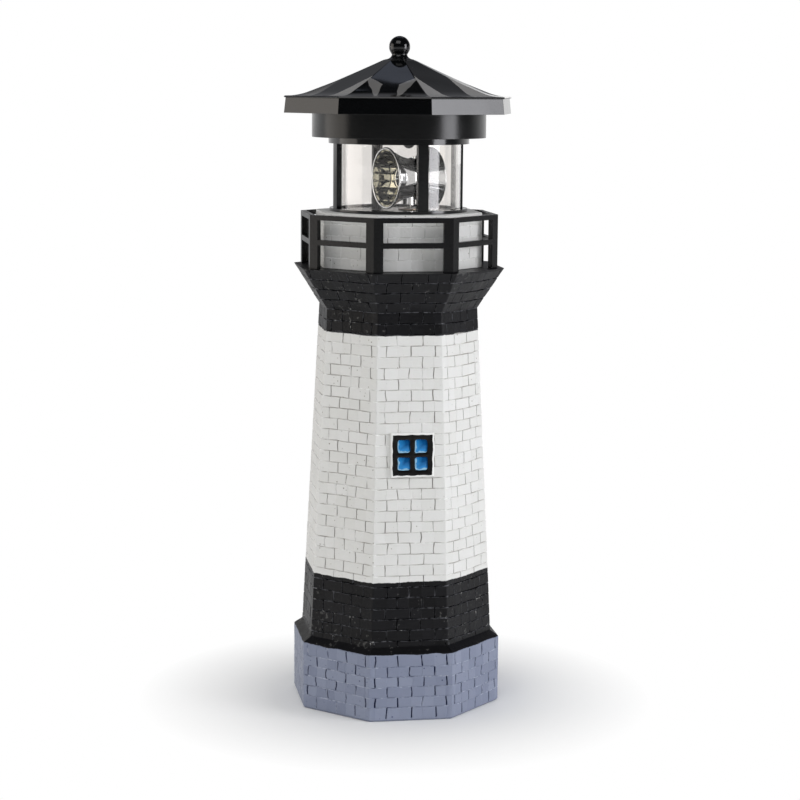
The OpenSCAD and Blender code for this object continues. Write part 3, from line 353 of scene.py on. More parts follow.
def moulded_plastic(name, colour, roughness, ripple=0.02, wave=0.0, ior=1.53):
    """An injection-moulded skin: faint orange peel, slow waves where it shrank, and handling marks.

    ripple and wave are the depths of the peel and of the waves in millimetres.
    """
    material, tree, surface, place = new_material(name, Base_Color=colour, IOR=ior)
    peel, wear, slow = (
        add(tree, "TexNoise", {"Vector": place, "Scale": 1 / (size * MM), "Detail": detail})
        for size, detail in ((1.3, 2.0), (9, 4.0), (14, 0.0)))
    gloss = add(tree, "MapRange", {"Value": wear, "To Min": roughness * 0.75, "To Max": roughness * 1.3})
    relief = add(tree, "Math", {0: peel, 1: ripple * MM}, operation="MULTIPLY")
    relief = add(tree, "Math", {0: slow, 1: wave * MM, 2: relief}, operation="MULTIPLY_ADD")
    bump = add(tree, "Bump", {"Height": relief, "Strength": 1.0, "Distance": 1.0})
    feed(surface, {"Roughness": gloss, "Normal": bump})
    return material


def smoked_cover():
    """Smoked polycarbonate, polished, with painted pale grey reflections beside the solar panel's corners."""
    material, tree, surface, place = new_material("smoked_polycarbonate", IOR=1.58)
    inward, beside, square = (add(tree, "Attribute", attribute_name=name).outputs["Fac"]
                              for name in ("inward", "beside", "square"))
    slow, sway, wide, wear = (
        add(tree, "TexNoise", {"Vector": place, "Scale": 1 / (size * MM), "Detail": detail})
        for size, detail in ((14, 0.0), (5, 1.0), (40, 0.0), (9, 4.0)))
    beside = add(tree, "Math", {0: sway, 1: 1.6, 2: beside}, operation="MULTIPLY_ADD")

    def covers(line, reach):
        """1 where reach is under the line, in millimetres, with an edge 0.3 mm soft."""
        gap = add(tree, "Math", {0: line, 1: reach}, operation="SUBTRACT")
        return add(tree, "MapRange", {"Value": gap, "From Min": 0.0, "From Max": 0.3})

    # Each line is so far from the ridge at the lip, and leans so much for a millimetre inward.
    # On the corner faces the painted reflection is a triangle that leans on the ridge
    hypotenuse = add(tree, "Math", {0: inward, 1: -0.5, 2: 13.2}, operation="MULTIPLY_ADD")
    corner = covers(hypotenuse, beside)
    # On the faces along the panel's sides the painted reflection is only a strip
    steep = add(tree, "Math", {0: inward, 1: -1.3, 2: 30.5}, operation="MULTIPLY_ADD")
    outer = add(tree, "Math", {0: wide, 1: -9.0, 2: 20.6}, operation="MULTIPLY_ADD")
    outer = add(tree, "Math", {0: inward, 1: -0.3, 2: outer}, operation="MULTIPLY_ADD")
    outer = add(tree, "Math", {0: outer, 1: steep}, operation="MINIMUM")
    inner = add(tree, "Math", {0: inward, 1: -0.66, 2: 14.3}, operation="MULTIPLY_ADD")
    strip = add(tree, "Math", {0: covers(outer, beside), 1: covers(beside, inner)}, operation="MULTIPLY")
    strip = add(tree, "Math", {0: strip, 1: 0.62}, operation="MULTIPLY")
    shown = add(tree, "Mix", {"Factor": square, "A": corner, "B": strip}, data_type="FLOAT")
    edge = add(tree, "MapRange", {"Value": inward, "From Min": 0.6, "From Max": 1.0})
    shown = add(tree, "Math", {0: shown, 1: edge}, operation="MULTIPLY")
    # The painted reflection is strong toward the front and faint further back
    front = add(tree, "SeparateXYZ", {"Vector": place}).outputs["Y"]
    front = add(tree, "MapRange", {"Value": front, "From Min": -4 * MM, "From Max": -16 * MM, "To Min": 0.12})
    shown = add(tree, "Math", {0: shown, 1: front}, operation="MULTIPLY")
    # The painted reflection's own pale grey
    reflection_grey = add(tree, "Mix", {"Factor": slow, "A": "#7a7978", "B": "#918f8b"}, data_type="RGBA")
    colour = add(tree, "Mix", {"Factor": shown, "A": "#08090a", "B": reflection_grey}, data_type="RGBA")
    gloss = add(tree, "MapRange", {"Value": wear, "To Min": 0.03, "To Max": 0.07})
    bump = add(tree, "Bump", {"Height": slow, "Strength": 1.0, "Distance": 0.09 * MM})
    feed(surface, {"Base Color": colour, "Roughness": gloss, "Normal": bump})
    return material


def clear_acrylic():
    """Extruded acrylic: polished and colourless, a little grey along its cut edges and in its depth."""
    material, tree, surface, place = new_material(
        "clear_extruded_acrylic", Base_Color="#f2f0ee", Roughness=0.015, IOR=1.49, Transmission_Weight=1.0)
    ray = add(tree, "LightPath")
    passing = add(tree, "Math", {0: ray.outputs["Is Shadow Ray"], 1: ray.outputs["Is Diffuse Ray"]},
                  operation="MAXIMUM")
    clear = add(tree, "BsdfTransparent", {"Color": "#ebebea"})
    mixed = add(tree, "MixShader", {0: passing, 1: surface, 2: clear})
    feed(tree.nodes["Material Output"], {"Surface": mixed})
    bands = add(tree, "TexNoise", {"Vector": place, "Scale": 1 / (6 * MM), "Detail": 0.0})
    bump = add(tree, "Bump", {"Height": bands, "Strength": 0.3, "Distance": 0.02 * MM})
    feed(surface, {"Normal": bump})
    return material


def metal(name, colour, roughness, marks=0.4, depth=0.004):
    """Bare or plated metal: the colour is its mirror tint. marks is the size of its wear in millimetres."""
    material, tree, surface, place = new_material(name, Base_Color=colour, Metallic=1.0)
    wear = add(tree, "TexNoise", {"Vector": place, "Scale": 1 / (marks * MM), "Detail": 3.0})
    gloss = add(tree, "MapRange", {"Value": wear, "To Min": roughness * 0.6, "To Max": roughness * 1.5})
    bump = add(tree, "Bump", {"Height": wear, "Strength": 1.0, "Distance": depth * MM})
    feed(surface, {"Roughness": gloss, "Normal": bump})
    return material


def plated_cup():
    """Vacuum-plated ABS under lacquer: bright outside, straw grey in the bowl, with painted shade where facets
    meet.
    """
    material, tree, surface, place = new_material("vacuum_plated_abs", Metallic=1.0)
    bowl, groove = (add(tree, "Attribute", attribute_name=name).outputs["Fac"] for name in ("bowl", "groove"))
    colour = add(tree, "Mix", {"Factor": bowl, "A": "#dcdee0", "B": "#c0bda9"}, data_type="RGBA")
    # Painted shade in the creases where facets meet
    level = add(tree, "MapRange", {"Value": groove, "From Min": 0.3, "From Max": 0.85, "To Max": 0.95})
    colour = add(tree, "Mix", {"Factor": level, "A": colour, "B": "#1f1d19"}, data_type="RGBA")
    haze = add(tree, "TexNoise", {"Vector": place, "Scale": 1 / (4 * MM), "Detail": 3.0})
    gloss = add(tree, "MapRange", {"Value": haze, "To Min": 0.02, "To Max": 0.08})
    feed(surface, {"Base Color": colour, "Roughness": gloss})
    return material


def solar_cells():
    """Blue-black silicon under epoxy: 11.5 mm cells, silver gaps, and fine contact fingers."""
    material, tree, surface, place = new_material("silicon_solar_cells", Roughness=0.12, IOR=1.55)
    turned = add(tree, "Mapping", {"Vector": place, "Rotation": (0, 0, math.radians(-ROOF_TURN))})
    cells = add(tree, "TexBrick", {"Vector": turned, "Color1": "#10193a", "Color2": "#0c142e",
                                   "Mortar": "#8d9299", "Scale": 1 / MM, "Mortar Size": 0.2,
                                   "Mortar Smooth": 0.1, "Brick Width": 11.5, "Row Height": 11.5}, offset=0.0)
    # Fingers 1.9 mm apart: a wave texture repeats every 0.314 of a unit
    fingers = add(tree, "TexWave", {"Vector": turned, "Scale": 0.314 / (1.9 * MM), "Distortion": 0.0},
                  wave_profile="SIN").outputs["Fac"]
    level = add(tree, "MapRange", {"Value": fingers, "From Min": 0.94, "From Max": 0.99, "To Max": 0.5})
    colour = add(tree, "Mix", {"Factor": level, "A": cells, "B": "#9aa0a6"}, data_type="RGBA")
    feed(surface, {"Base Color": colour})
    return material


def circuit_board():
    """Glass-epoxy board under green mask: tracks show lighter, with tinned pads."""
    material, tree, surface, place = new_material("glass_epoxy_board", Roughness=0.28)
    tracks = add(tree, "TexBrick", {"Vector": place, "Color1": "#14532c", "Color2": "#1a6334",
                                    "Mortar": "#0f4022", "Scale": 1 / MM, "Mortar Size": 0.12,
                                    "Brick Width": 5.3, "Row Height": 0.9})
    pads = specks(tree, place, 2.4, 0.5, 0.35)
    colour = add(tree, "Mix", {"Factor": pads, "A": tracks, "B": "#c9c7bd"}, data_type="RGBA")
    feed(surface, {"Base Color": colour, "Metallic": pads})
    return material


def cell_sleeve():
    """Heat-shrunk PVC sleeve on a rechargeable cell: green, with a plain pale band at one end."""
    material, tree, surface, place = new_material("shrunk_pvc_sleeve", Roughness=0.25)
    along = add(tree, "SeparateXYZ", {"Vector": place}).outputs["X"]
    level = add(tree, "Math", {0: along, 1: 6 * MM}, operation="GREATER_THAN")
    colour = add(tree, "Mix", {"Factor": level, "A": "#1f6b3a", "B": "#d9dccf"}, data_type="RGBA")
    folds = add(tree, "TexNoise", {"Vector": place, "Scale": 1 / (2.5 * MM), "Detail": 2.0})
    bump = add(tree, "Bump", {"Height": folds, "Strength": 0.5, "Distance": 0.05 * MM})
    feed(surface, {"Base Color": colour, "Normal": bump})
    return material


RESIN_PAINT = painted_resin()
WINDOW_ENAMEL = window_enamel()
RAW_RESIN = moulded_plastic("raw_cast_resin", "#b9b4a8", 0.6, 0.08, 0.2)
SATIN_ABS = moulded_plastic("satin_black_abs", "#0b0b0c", 0.24, ior=1.38)
GLOSS_ABS = moulded_plastic("gloss_black_abs", "#08090a", 0.13, 0.006, 0.05)
DRUM_ABS = moulded_plastic("soft_gloss_black_abs", "#070808", 0.22, 0.01, 0.05, 1.44)
SMOKED_COVER = smoked_cover()
CLEAR_ACRYLIC = clear_acrylic()
PLATED_CUP = plated_cup()
PLATED_NECK = metal("vacuum_plated_neck", "#d9dbdd", 0.06, 3, 0.01)
STEEL = metal("zinc_plated_steel", "#b9bbbe", 0.3)
PLATED_SHAFT = metal("nickel_plated_steel", "#cfcdc8", 0.12, 0.3, 0.002)
BRASS = metal("turned_brass", "#c6a15f", 0.26, 0.25)
SINTERED_BRONZE = metal("sintered_bronze", "#75685a", 0.42, 0.3)
NYLON = moulded_plastic("natural_nylon", "#ded9c8", 0.45, 0.02)
GREY_ABS = moulded_plastic("grey_abs", "#54565a", 0.4, 0.03)
SILICONE = moulded_plastic("clouded_silicone", "#b9bab8", 0.55, 0.02, 0.05, 1.42)
LED_EPOXY = moulded_plastic("smoked_led_epoxy", "#15181a", 0.06, 0.0, 0.0, 1.55)
SOLAR_CELLS = solar_cells()
BOARD = circuit_board()
SLEEVE = cell_sleeve()
RED_PVC = moulded_plastic("red_pvc_insulation", "#8e1a17", 0.4, 0.03)
BLACK_PVC = moulded_plastic("black_pvc_insulation", "#161617", 0.4, 0.03)


# ---------------------------------------------------------------- the casting

def skin_rows():
    """The casting's skin from the ground up, as (height, corner radius, course, joint depth).

    Course None is a plain row, with no upright joints across it.
    """
    def radius(z):
        if z <= PLINTH_TOP:
            return PLINTH_R
        if z <= SHAFT_TOP:
            return SHAFT_FOOT_R + (z - SHAFT_FOOT) * (SHAFT_TOP_R - SHAFT_FOOT_R) / (SHAFT_TOP - SHAFT_FOOT)
        if z <= TERRACE:
            return SHAFT_TOP_R + (z - SHAFT_TOP) * (TERRACE_R - SHAFT_TOP_R) / (TERRACE - SHAFT_TOP)
        return COLLAR_R

    courses = {
        "plinth": [PLINTH_TOP - 5.4 - PLINTH_COURSE * k for k in range(4, -1, -1)],
        "shaft": [SHAFT_TOP - SHAFT_COURSE * k for k in range(30, 0, -1)],
        "flare": [SHAFT_TOP + FLARE_COURSE * k for k in range(1, 4)],
        "collar": [TERRACE + COLLAR_COURSE * k for k in range(1, 5)]}
    rows = [(0.0, PLINTH_R - PLINTH_BEVEL, None, 0), (0.3, PLINTH_R - 0.45, None, 0),
            (PLINTH_BEVEL, PLINTH_R, None, 0), (1.3, PLINTH_R, 0, 0)]
    course = 0

    def brickwork(beds, top, course):
        edge = None
        for bed in beds + [top]:
            if edge is not None:
                for share in (0.25, 0.5, 0.75):
                    z = edge + (bed - edge) * share
                    rows.append((z, radius(z), course, 0.0))
            if bed == top:
                break
            for shift, depth in JOINT_STEPS:
                if shift == JOINT_FLOOR:
                    course += 1
                rows.append((bed + shift, radius(bed + shift), course, depth))
            edge = bed
        return course

    course = brickwork(courses["plinth"], PLINTH_TOP, course)
    rows += [(PLINTH_TOP - 0.7, PLINTH_R, course, 0), (PLINTH_TOP - 0.35, PLINTH_R, None, 0),
             (PLINTH_TOP - 0.05, PLINTH_R - 0.18, None, 0), (PLINTH_TOP + 0.25, PLINTH_R - 0.55, None, 0),
             (SHAFT_FOOT - 0.2, SHAFT_FOOT_R + 0.4, None, 0), (SHAFT_FOOT + 0.15, SHAFT_FOOT_R, None, 0),
             (SHAFT_FOOT + 0.4, radius(SHAFT_FOOT + 0.4), course, 0)]
    course = brickwork(courses["shaft"], SHAFT_TOP, course)
    rows += [(SHAFT_TOP - 0.25, radius(SHAFT_TOP - 0.25), course, 0), (SHAFT_TOP, SHAFT_TOP_R, course, 0.5),
             (SHAFT_TOP + 0.25, radius(SHAFT_TOP + 0.25), course + 1, 0)]
    course = brickwork(courses["flare"], TERRACE, course + 1)
    rows += [(TERRACE - 0.5, radius(TERRACE - 0.5), course, 0),
             (TERRACE - 0.25, radius(TERRACE - 0.25), None, 0), (TERRACE - 0.03, TERRACE_R - 0.12, None, 0),
             (TERRACE, TERRACE_R - 0.5, None, 0), (TERRACE, COLLAR_R + 3, None, 0),
             (TERRACE, COLLAR_R + 0.3, None, 0), (TERRACE + 0.3, COLLAR_R, None, 0),
             (TERRACE + 0.6, COLLAR_R, course + 1, 0)]
    course = brickwork(courses["collar"], COLLAR_TOP, course + 1)
    rows += [(COLLAR_TOP - 0.8, COLLAR_R, course, 0), (COLLAR_TOP - 0.5, COLLAR_R, None, 0),
             (COLLAR_TOP - 0.1, COLLAR_R - 0.12, None, 0), (COLLAR_TOP, COLLAR_R - 0.5, None, 0)]
    return rows


def column_places(half):
    """Places across one face, in millimetres from its middle: (place, place as laid, joint, depth)."""
    laid = []
    for joint in (-15, -10, -5, 0, 5, 10, 15):
        for shift, depth in JOINT_STEPS:
            laid.append((joint + shift, joint, depth))
        if joint < 15:
            laid.append((joint + BRICK / 4, None, 0))
    tangent = half - CORNER_ROUND * math.tan(HALF_FACE)
    limit, reach = tangent - 0.3, laid[-1][0]
    last = BRICK + JOINT_EDGE + 0.1
    places = [(-tangent, -last, None, 0)]
    for place, joint, depth in laid:
        if abs(place) > last and reach > limit:
            # The brick at the corner is cut short, and has no joint of its own
            share = (abs(place) - last) / (reach - last)
            at = last + share * (limit - last)
            places.append((math.copysign(at, place), math.copysign(last, place), None, 0))
        else:
            places.append((place, place, joint, depth))
    return places + [(tangent, last, None, 0), (half, last, None, 0)]


def dice(*numbers):
    """A steady random number from 0 to 1 for a place in the brickwork."""
    return noise.cell(Vector([n * 1.37 + 0.5 for n in numbers]) + Vector((60, 90, 30))) * 0.5 + 0.5


def tower_skin():
    """The casting with its brickwork cut in, its socket, and the hollow under it."""
    rows = skin_rows()
    points, bed, perp, tone, rough = [], [], [], [], []
    columns = 8 * len(column_places(20))
    for z, corner_r, course, row_depth in rows:
        half = corner_r * math.sin(HALF_FACE)
        apothem = corner_r * FLAT
        plinth, collar = z < PLINTH_TOP, z > TERRACE
        for face in range(8):
            outward, along = face_ways(face)
            for place, laid, joint, depth in column_places(half):
                fade = min(1, max(0.5, (half - abs(place)) / 1.5))
                in_bed = in_perp = lift = 0
                brick = 0
                if course is not None:
                    brick = math.floor((laid + (0 if course % 2 else BRICK / 2)) / BRICK)
                    lift = BRICK_LIFT * (dice(brick, course, face) - 0.5) * fade
                    if row_depth:
                        strength = 0.45 + 0.65 * dice(brick, course + 40, face)
                        if plinth:
                            strength = 0.12 + 0.9 * dice(math.floor(laid / 2.5), course + 40, face) ** 3
                        if collar:
                            strength *= 0.5
                        in_bed = row_depth * fade * strength
                if joint is not None and course is not None:
                    if plinth and depth == 0:
                        place += math.copysign(0.14, place - joint)
                    stray = JOINT_SHIFT * (1 if abs(joint) < 11 else 0.3)
                    place += stray * (dice(joint, course + 20, face) - 0.5)
                    if (round(joint / 5) + course) % 2 == 0 and depth:
                        in_perp = 0.5 + 0.6 * dice(joint, course, face + 20)
                        if plinth and row_depth:
                            in_perp *= 0.4
                        if collar:
                            in_perp *= 0.7 * dice(joint + 3, course, face)
                at = outward * apothem + along * place + Vector((0, 0, z))
                # Handwork at three sizes, in millimetres, each from its own part of the noise
                soft = noise.noise(at / 2.2)
                sway = noise.noise(at / 9 + Vector((5, 0, 0)))
                slow = noise.noise(at / 3.6 + Vector((0, 0, 31)))
                in_bed *= 0.85 + 0.6 * soft
                in_perp = min(1, in_perp * (0.9 + 0.5 * soft))
                if abs(place) == half:
                    at -= (outward * apothem + along * place).normalized() * CORNER_ROUND * (1 / FLAT - 1)
                cut = JOINT_DEPTH if BAND_LINE < z < NECK_LINE or collar else COARSE_DEPTH
                at += outward * (lift - cut * max(in_bed, in_perp) + 0.08 * sway * fade)
                if joint is not None:
                    at += along * (0.12 * soft + (0.6 if plinth else 0.4) * slow)
                if row_depth or course is not None:
                    bow = BOWS[face] * (1 - (place / half) ** 2)
                    at.z += BED_WAVER * noise.noise(at / 5 + Vector((0, 9, 0))) + bow
                points.append(at * MM)
                bed.append(in_bed)
                perp.append(in_perp)
                tone.append(dice(brick, (course or 0) + 70, face))
                near_corner = max(0, 1 - (half - abs(place)) / 1.5)
                # Rough wear, more of it near the corners; it also spreads the painted arris highlight
                wear_and_highlight = 0.8 + 0.9 * noise.noise(at / 12 + Vector((3, 3, 3)))
                wear_and_highlight += 0.9 * near_corner * max(0, slow + 0.2)
                rough.append(ROUGHNESS[face] * wear_and_highlight)
    base = points[-columns:]
    headings = [math.atan2(p.y, p.x) for p in base]
    inner = [(SOCKET_R + 0.4, COLLAR_TOP, True), (SOCKET_R, COLLAR_TOP - 0.4, True),
             (SOCKET_R, SOCKET_FOOT + 0.3, True), (SOCKET_R, SOCKET_FOOT, True),
             (CAVITY_TOP_R, SOCKET_FOOT, False), (CAVITY_FOOT_R, 0.2, False), (CAVITY_FOOT_R + 0.2, 0, False)]
    for reach, z, is_round in inner:
        for heading in headings:
            if is_round:
                r = reach
            else:
                off = (math.degrees(heading) + 90 + 22.5) % 45 - 22.5
                r = reach * FLAT / math.cos(math.radians(off))
            points.append(Vector((r * math.cos(heading), r * math.sin(heading), z)) * MM)
            for values in (bed, perp, rough):
                values.append(0)
            tone.append(0.5)
    total = len(rows) + len(inner)
    faces = grid_faces(total, columns, closed_rows=True)
    piece = new_piece("tower_brickwork", points, faces, "tower", RESIN_PAINT)
    mesh = piece.data
    mesh.materials.append(RAW_RESIN)
    mark(mesh, bed=bed, perp=perp, tone=tone, rough=rough)
    inside = np.zeros(len(faces), dtype=np.int32)
    inside[(len(rows) + 1) * columns:] = 1
    mesh.polygons.foreach_set("material_index", inside)
    mesh.set_sharp_from_angle(angle=math.radians(24))
    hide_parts("tower_casting")


tower_skin()


# ---------------------------------------------------------------- the window

def window_casting():
    """The window moulded on the front face: a square-edged frame around four pillowed panes."""
    taper = (SHAFT_FOOT_R - SHAFT_TOP_R) / (SHAFT_TOP - SHAFT_FOOT)
    lean = math.atan(taper * FLAT)
    apothem = (SHAFT_FOOT_R - (WINDOW_Z - SHAFT_FOOT) * taper) * FLAT
    up = Vector((0, math.sin(lean), math.cos(lean)))
    outward = Vector((0, -math.cos(lean), math.sin(lean)))
    middle = Vector((WINDOW_X, -apothem, WINDOW_Z))

    def lines(size, bar):
        """Grid lines across the window, dense at the edges of its bars and panes."""
        half, inner = size / 2, size / 2 - WINDOW_BORDER
        pane = [bar / 2 + (inner - bar / 2) * share
                for share in (0, 0.03, 0.07, 0.13, 0.22, 0.35, 0.5, 0.65, 0.78, 0.87, 0.93, 0.97, 1)]
        frame_lines = [inner + 0.08, inner + 0.25, inner + 1.1,
                       half - 0.85, half - 0.6, half - 0.4, half - 0.15, half]
        side = [0, bar / 2 - 0.25, bar / 2 - 0.08] + pane + frame_lines
        return [-p for p in reversed(side[1:])] + side

    def pane_share(along, size, bar):
        """0 at a pane's edges and 1 at its middle, or less than 0 on the frame."""
        inner = size / 2 - WINDOW_BORDER
        return min(abs(along) - bar / 2, inner - abs(along)) / ((inner - bar / 2) / 2)

    def pane_corner(across, along):
        """The smaller share, with the panes' corners rounded."""
        cut = math.hypot(max(0, 1 - across / 0.35), max(0, 1 - along / 0.35))
        return min(across, along) if min(across, along) < 0 or cut == 0 else 0.35 * (1 - cut)

    columns, rows = lines(WINDOW_W, MULLION), lines(WINDOW_H, TRANSOM)
    points, glaze, pool = [], [], []
    for v in rows:
        for u in columns:
            across, along = pane_share(u, WINDOW_W, MULLION), pane_share(v, WINDOW_H, TRANSOM)
            share = pane_corner(across, along)
            edge = min(WINDOW_W / 2 - abs(u), WINDOW_H / 2 - abs(v))
            if share > 0.02:
                swell = (1 - (1 - min(1, across)) ** 4) * (1 - (1 - min(1, along)) ** 4)
                height = WINDOW_PROUD - PANE_DEPTH + 0.55 * swell ** 0.7
            else:
                height = WINDOW_PROUD - 0.3 * max(0, 1 - edge / 0.45) ** 2
                height -= 0.12 * max(0, 1 + share / 0.12) if share > -0.12 else 0
            wobble = Vector((noise.noise(Vector((u / 2.4, v / 2.4, 1))), 0,
                             noise.noise(Vector((u / 2.4, v / 2.4, 7)))))
            grain = noise.noise(Vector((u / 1.5, v / 1.5, 4)))
            height += 0.07 * grain
            points.append((middle + Vector((u, 0, 0)) + up * v + outward * height + 0.3 * wobble) * MM)
            glaze.append(1.0 if share > 0.02 else (0.0 if edge > 0.7 else -0.9 + 0.7 * grain))
            # Painted highlight on each pane: along its left and its lower edge
            inner_u, inner_v = (size / 2 - WINDOW_BORDER - bar / 2 for size, bar in
                                ((WINDOW_W, MULLION), (WINDOW_H, TRANSOM)))
            from_left = (abs(u) - MULLION / 2 if u > 0 else inner_u - abs(u) + MULLION / 2) / inner_u
            from_foot = (abs(v) - TRANSOM / 2 if v > 0 else inner_v - abs(v) + TRANSOM / 2) / inner_v
            pool.append(max(0, min(1, 1 - 1.5 * min(from_left, from_foot) + 0.15 * grain)))
    wide, high = len(columns), len(rows)
    faces = [(r * wide + c, r * wide + c + 1, (r + 1) * wide + c + 1, (r + 1) * wide + c)
             for r in range(high - 1) for c in range(wide - 1)]
    rim = ([*range(wide)] + [r * wide + wide - 1 for r in range(1, high)]
           + [(high - 1) * wide + c for c in range(wide - 2, -1, -1)]
           + [r * wide for r in range(high - 2, 0, -1)])
    for depth in (WINDOW_PROUD - 0.75, -1.2):
        first = len(points)
        for k in rim:
            u, v = columns[k % wide], rows[k // wide]
            points.append((middle + Vector((u, 0, 0)) + up * v + outward * depth) * MM)
            glaze.append(-1.0)
            pool.append(0)
        start = rim if depth > 0 else range(first - len(rim), first)
        for k in range(len(rim)):
            after = (k + 1) % len(rim)
            faces.append((start[after], start[k], first + k, first + after))
    faces.append(tuple(reversed(range(first, first + len(rim)))))
    piece = new_piece("window_casting", points, faces, "tower", WINDOW_ENAMEL)
    piece.data.set_sharp_from_angle(angle=math.radians(50))
    mark(piece.data, glaze=glaze, pool=pool)
    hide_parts("tower_casting")


window_casting()


# ---------------------------------------------------------------- mouldings

softened("gallery_railing", 0.2 * MM, "tower", SATIN_ABS)
softened("eave_frame", 0.22 * MM, "lantern", GLOSS_ABS)
softened("cap_housing", 0.25 * MM, "lantern", DRUM_ABS, rolled=(DRUM_R, DRUM_FOOT))
softened("lamp_body", 0.18 * MM, "lantern", GLOSS_ABS)


def clear_sleeve():
    """The lamp's clear tube, with its cut edges broken by 0.15 mm."""
    bore, edge = TUBE_R - TUBE_WALL, 0.15
    sleeve = lathe("clear_sleeve", [
        (bore + edge, TUBE_Z), (TUBE_R - edge, TUBE_Z), (TUBE_R, TUBE_Z + edge), (TUBE_R, TUBE_TOP - edge),
        (TUBE_R - edge, TUBE_TOP), (bore + edge, TUBE_TOP), (bore, TUBE_TOP - edge), (bore, TUBE_Z + edge)],
        "lantern", CLEAR_ACRYLIC, sides=192, closed=True)
    sleeve.data.set_sharp_from_angle(angle=math.radians(30))
    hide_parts("clear_tube")


clear_sleeve()


# ---------------------------------------------------------------- roof and finial

def roof_height(corner_r, across):
    """Height of the roof's skin in millimetres, where across is 0 mid-face and 1 on a ridge."""
    slope = math.tan(math.radians(ROOF_SLOPE))
    foot = BELL_R - BELL_L
    fold = FOLD_RISE * max(0, 1 - abs(corner_r - FOLD_R) / FOLD_REACH) ** 0.7 * abs(across) ** 3.5
    if corner_r > foot:
        return LIP_Z + slope * (BELL_R - min(corner_r, BELL_R)) ** 2 / (2 * BELL_L) + fold
    middle = (foot + CROWN_R) / 2
    sag = SLOPE_SAG * (1 - ((corner_r - middle) / (foot - middle)) ** 2)
    return LIP_Z + slope * (BELL_L / 2 + foot - corner_r) - sag + fold


def smoked_roof():
    """The eight-sided cover: straight slopes, a bell-cast eave, soft ridges and a thin rolled lip."""
    lip = [(LIP_R - 1.2, COVER_Z), (LIP_R - 0.5, COVER_Z), (LIP_R - 0.14, COVER_Z + 0.12),
           (LIP_R, COVER_Z + 0.4), (LIP_R - 0.14, LIP_Z - 0.12), (LIP_R - 0.5, LIP_Z)]
    foot = BELL_R - BELL_L
    bell = [(BELL_R - BELL_L * k / 14, None) for k in range(15)]
    slopes = [(foot - (foot - CROWN_R) * share, None)
              for share in (0.06, 0.13, 0.2, 0.3, 0.42, 0.54, 0.66, 0.78, 0.88, 0.95)]
    crown = [(CROWN_R + 0.3, None), (CROWN_R - 0.2, CROWN_Z), (5.2, CROWN_Z)]
    bore = [(3.4, CROWN_Z), (2.0, CROWN_Z), (2.0, CROWN_Z - COVER_T)]
    inner = [(CROWN_R - 0.6, CROWN_Z - COVER_T), (COVER_IN_R, COVER_Z + 0.2), (COVER_IN_R, COVER_Z)]
    rows = lip + bell + slopes + crown + bore + inner
    shares = [0, 0.2, 0.4, 0.55, 0.68, 0.79, 0.88, 0.95]
    shares = [-share for share in reversed(shares[1:])] + shares
    points, inward, beside, square = [], [], [], []
    for row, (corner_r, z) in enumerate(rows):
        half = corner_r * math.sin(HALF_FACE)
        is_round = z is not None and row in range(len(rows) - 6, len(rows) - 3)
        for face in range(8):
            outward, along = face_ways(face, ROOF_TURN)
            soft = min(0.4, half * 0.04)
            for place in [-half + soft] + [half * share for share in shares] + [half - soft, half]:
                at = outward * corner_r * FLAT + along * place
                if place == half:
                    at *= 1 - 0.1 / corner_r
                if is_round:
                    at *= corner_r / at.length
                level = roof_height(corner_r, place / half) if z is None else z
                points.append(Vector((at.x, at.y, level)) * MM)
                inward.append(BELL_R - corner_r if z is None else 0)
                beside.append(half - abs(place))
                square.append(1 - face % 2)
    faces = grid_faces(len(rows), 8 * (len(shares) + 3), closed_rows=True)
    piece = new_piece("smoked_roof", points, faces, "lantern", SMOKED_COVER)
    piece.data.set_sharp_from_angle(angle=math.radians(42))
    mark(piece.data, inward=inward, beside=beside, square=square)
    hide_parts("roof_cover")


def finial():
    """The turned ball and its flared foot, one glossy moulding with its spigot."""
    foot = [(1.9, -COVER_T - 1.3), (1.9, -0.05), (5.95, 0.01), (5.9, 0.12), (5.1, 0.24), (4.4, 0.5),
            (3.85, 0.9), (3.45, 1.4), (3.25, 1.85), (3.22, 2.1)]
    foot = [(r, CROWN_Z + rise) for r, rise in foot]
    centre = CROWN_Z + BALL_RISE
    ball = [(BALL_R * math.cos(math.radians(a)), centre + BALL_R * math.sin(math.radians(a)))
            for a in list(range(-38, 85, 6)) + [86, 89]]
    piece = lathe("finial_turning", foot + ball, "lantern", GLOSS_ABS)
    piece.data.set_sharp_from_angle(angle=math.radians(60))
    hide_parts("finial_ball")


smoked_roof()
finial()


# ---------------------------------------------------------------- reflectors

